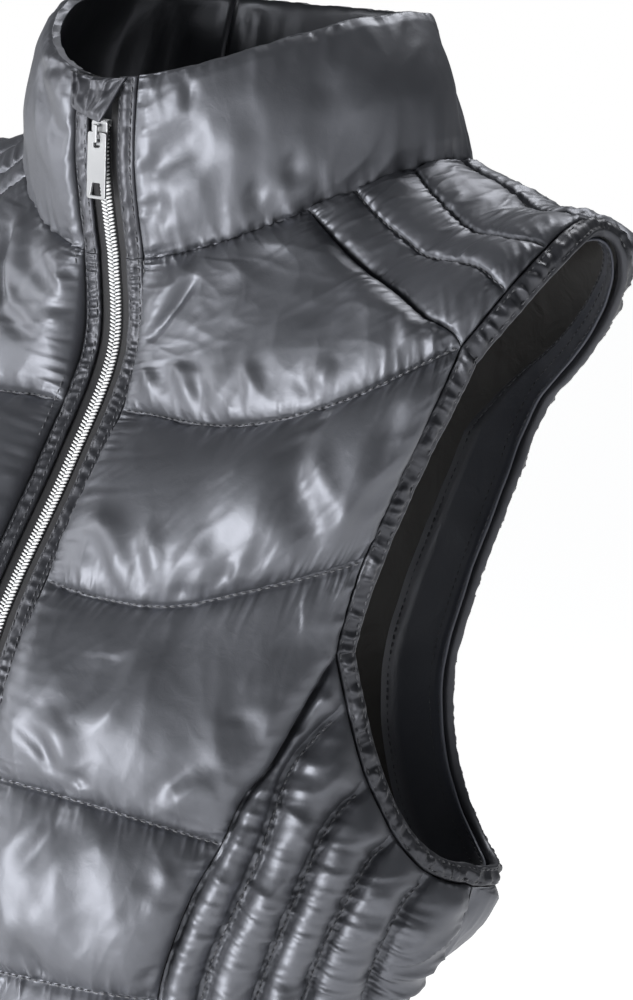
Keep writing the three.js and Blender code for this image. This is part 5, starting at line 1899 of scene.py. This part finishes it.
@dataclass(frozen=True)
class Studio:
    """Floor, lights and camera."""

    azimuth: float = 40.0
    elevation: float = 4.0
    roll: float = 5.0
    distance: float = 1.8
    focal_px: float = 1800 / 0.405
    target: tuple[float, float, float] = (0.0, 0.0, -0.063)
    target_px: tuple[float, float] = (246.0, 300.0)
    picture: tuple[int, int] = (633, 1000)

    def camera(self) -> None:
        """Places the camera as the photo saw the vest.

        The target shows at target_px, off the picture's middle, so the camera turns until
        its own axis passes through the middle. The focal length is in picture pixels.
        """
        a, e, r = (np.radians(k) for k in (self.azimuth, self.elevation, self.roll))
        back = np.array([np.sin(a) * np.cos(e), -np.cos(a) * np.cos(e), np.sin(e)])
        right = np.array([np.cos(a), np.sin(a), 0])
        up = np.array([-np.sin(a) * np.sin(e), np.cos(a) * np.sin(e), np.cos(e)])
        right, up = (right * np.cos(r) + up * np.sin(r), up * np.cos(r) - right * np.sin(r))
        place = np.array(self.target) + back * self.distance
        off_x = (self.picture[0] / 2 - self.target_px[0]) / self.focal_px
        off_y = (self.picture[1] / 2 - self.target_px[1]) / self.focal_px
        axis = unit(-back + right * off_x - up * off_y)
        right = unit(np.cross(axis, up))
        up = np.cross(right, axis)
        data = bpy.data.cameras.new("photo_camera")
        data.sensor_fit = "VERTICAL"
        data.sensor_height = FILM_HEIGHT
        data.lens = FILM_HEIGHT * self.focal_px / self.picture[1]
        data.clip_end = 20
        obj = link(bpy.data.objects.new("photo_camera", data))
        rows = [[right[k], up[k], -axis[k], place[k]] for k in range(3)]
        obj.matrix_world = Matrix([*rows, [0, 0, 0, 1]])
        bpy.context.scene.camera = obj

    def surroundings(self) -> None:
        """Adds a white backdrop that lights the vest only dimly, as a dark studio would."""
        world = bpy.data.worlds.new("studio")
        world.use_nodes = True
        nodes, links = world.node_tree.nodes, world.node_tree.links
        backdrop = nodes["Background"]
        tune(backdrop, {"Color": (1, 1, 1, 1)})
        room = nodes.new("ShaderNodeBackground")
        tune(room, {"Color": (0.93, 0.96, 1, 1), "Strength": 0.11})
        rays = nodes.new("ShaderNodeLightPath")
        mix = nodes.new("ShaderNodeMixShader")
        links.new(rays.outputs["Is Camera Ray"], mix.inputs[0])
        links.new(room.outputs[0], mix.inputs[1])
        links.new(backdrop.outputs[0], mix.inputs[2])
        links.new(mix.outputs[0], nodes["World Output"].inputs["Surface"])
        bpy.context.scene.world = world

    def build(self) -> None:
        """Adds floor, surroundings, lights and camera."""
        self.surroundings()
        bpy.ops.mesh.primitive_plane_add(size=60, location=(0, 0, -0.9))
        floor = bpy.context.object
        floor.name = "floor"
        paper = Finish("floor_paper", (0.8, 0.8, 0.8), 0.9).material()
        tune(paper.node_tree.nodes["Principled BSDF"],
             {"Emission Color": (1, 1, 1, 1), "Emission Strength": 0.9})
        floor.data.materials.append(paper)
        middle = Vector((0, 0, -0.2))
        for lamp in (
            Lamp("key", (-0.3, -2.05, -0.48), 1.0, 53),
            Lamp("left", (-1.8, -1.0, 0.2), 0.9, 15),
            Lamp("side", (2.2, 0.3, -0.1), 0.6, 0.8),
            Lamp("top", (-0.1, 1.2, 1.9), 0.8, 31),
        ):
            lamp.build(middle)
        self.camera()
        bpy.context.scene.view_settings.view_transform = "Standard"


@dataclass
class Vest:
    """The whole vest."""

    def build(self) -> None:
        """Builds and dresses every piece."""
        for side, detail in ((Side.LEFT, 1.0), (Side.RIGHT, 0.66)):
            left = side is Side.LEFT
            seed = 11 if left else 4011
            FrontPanel(side, seed, detail, LEFT_CREASES if left else RIGHT_CREASES).build()
            SidePanel(side, seed + 7, detail).build()
            YokePanel(side, seed + 13, detail).build()
            ArmholeBand(side, seed + 19).build()
            ArmholeFacing(side, seed + 23).build()
            CollarPiece(f"collar_{side.word}", side, seed + 29, detail,
                        COLLAR_LEFT_CREASES if left else COLLAR_RIGHT_CREASES).build()
            ClosureHalf(side, seed + 31).build()
            Sewing(side).build()
        BackPanel(777, 1.0).build()
        CollarPiece("collar_back", Side.LEFT, 888, 0.9).build()
        ZipChain().build()
        pull = ZipPull()
        pull.slider()
        pull.tab()
        ZipGarage(999).build()


def main() -> None:
    """Builds the vest and the studio, and notes the sizes."""
    logging.basicConfig(level=logging.INFO, format="%(name)s %(message)s")
    Vest().build()
    Studio().build()


if __name__ == "__main__":
    main()
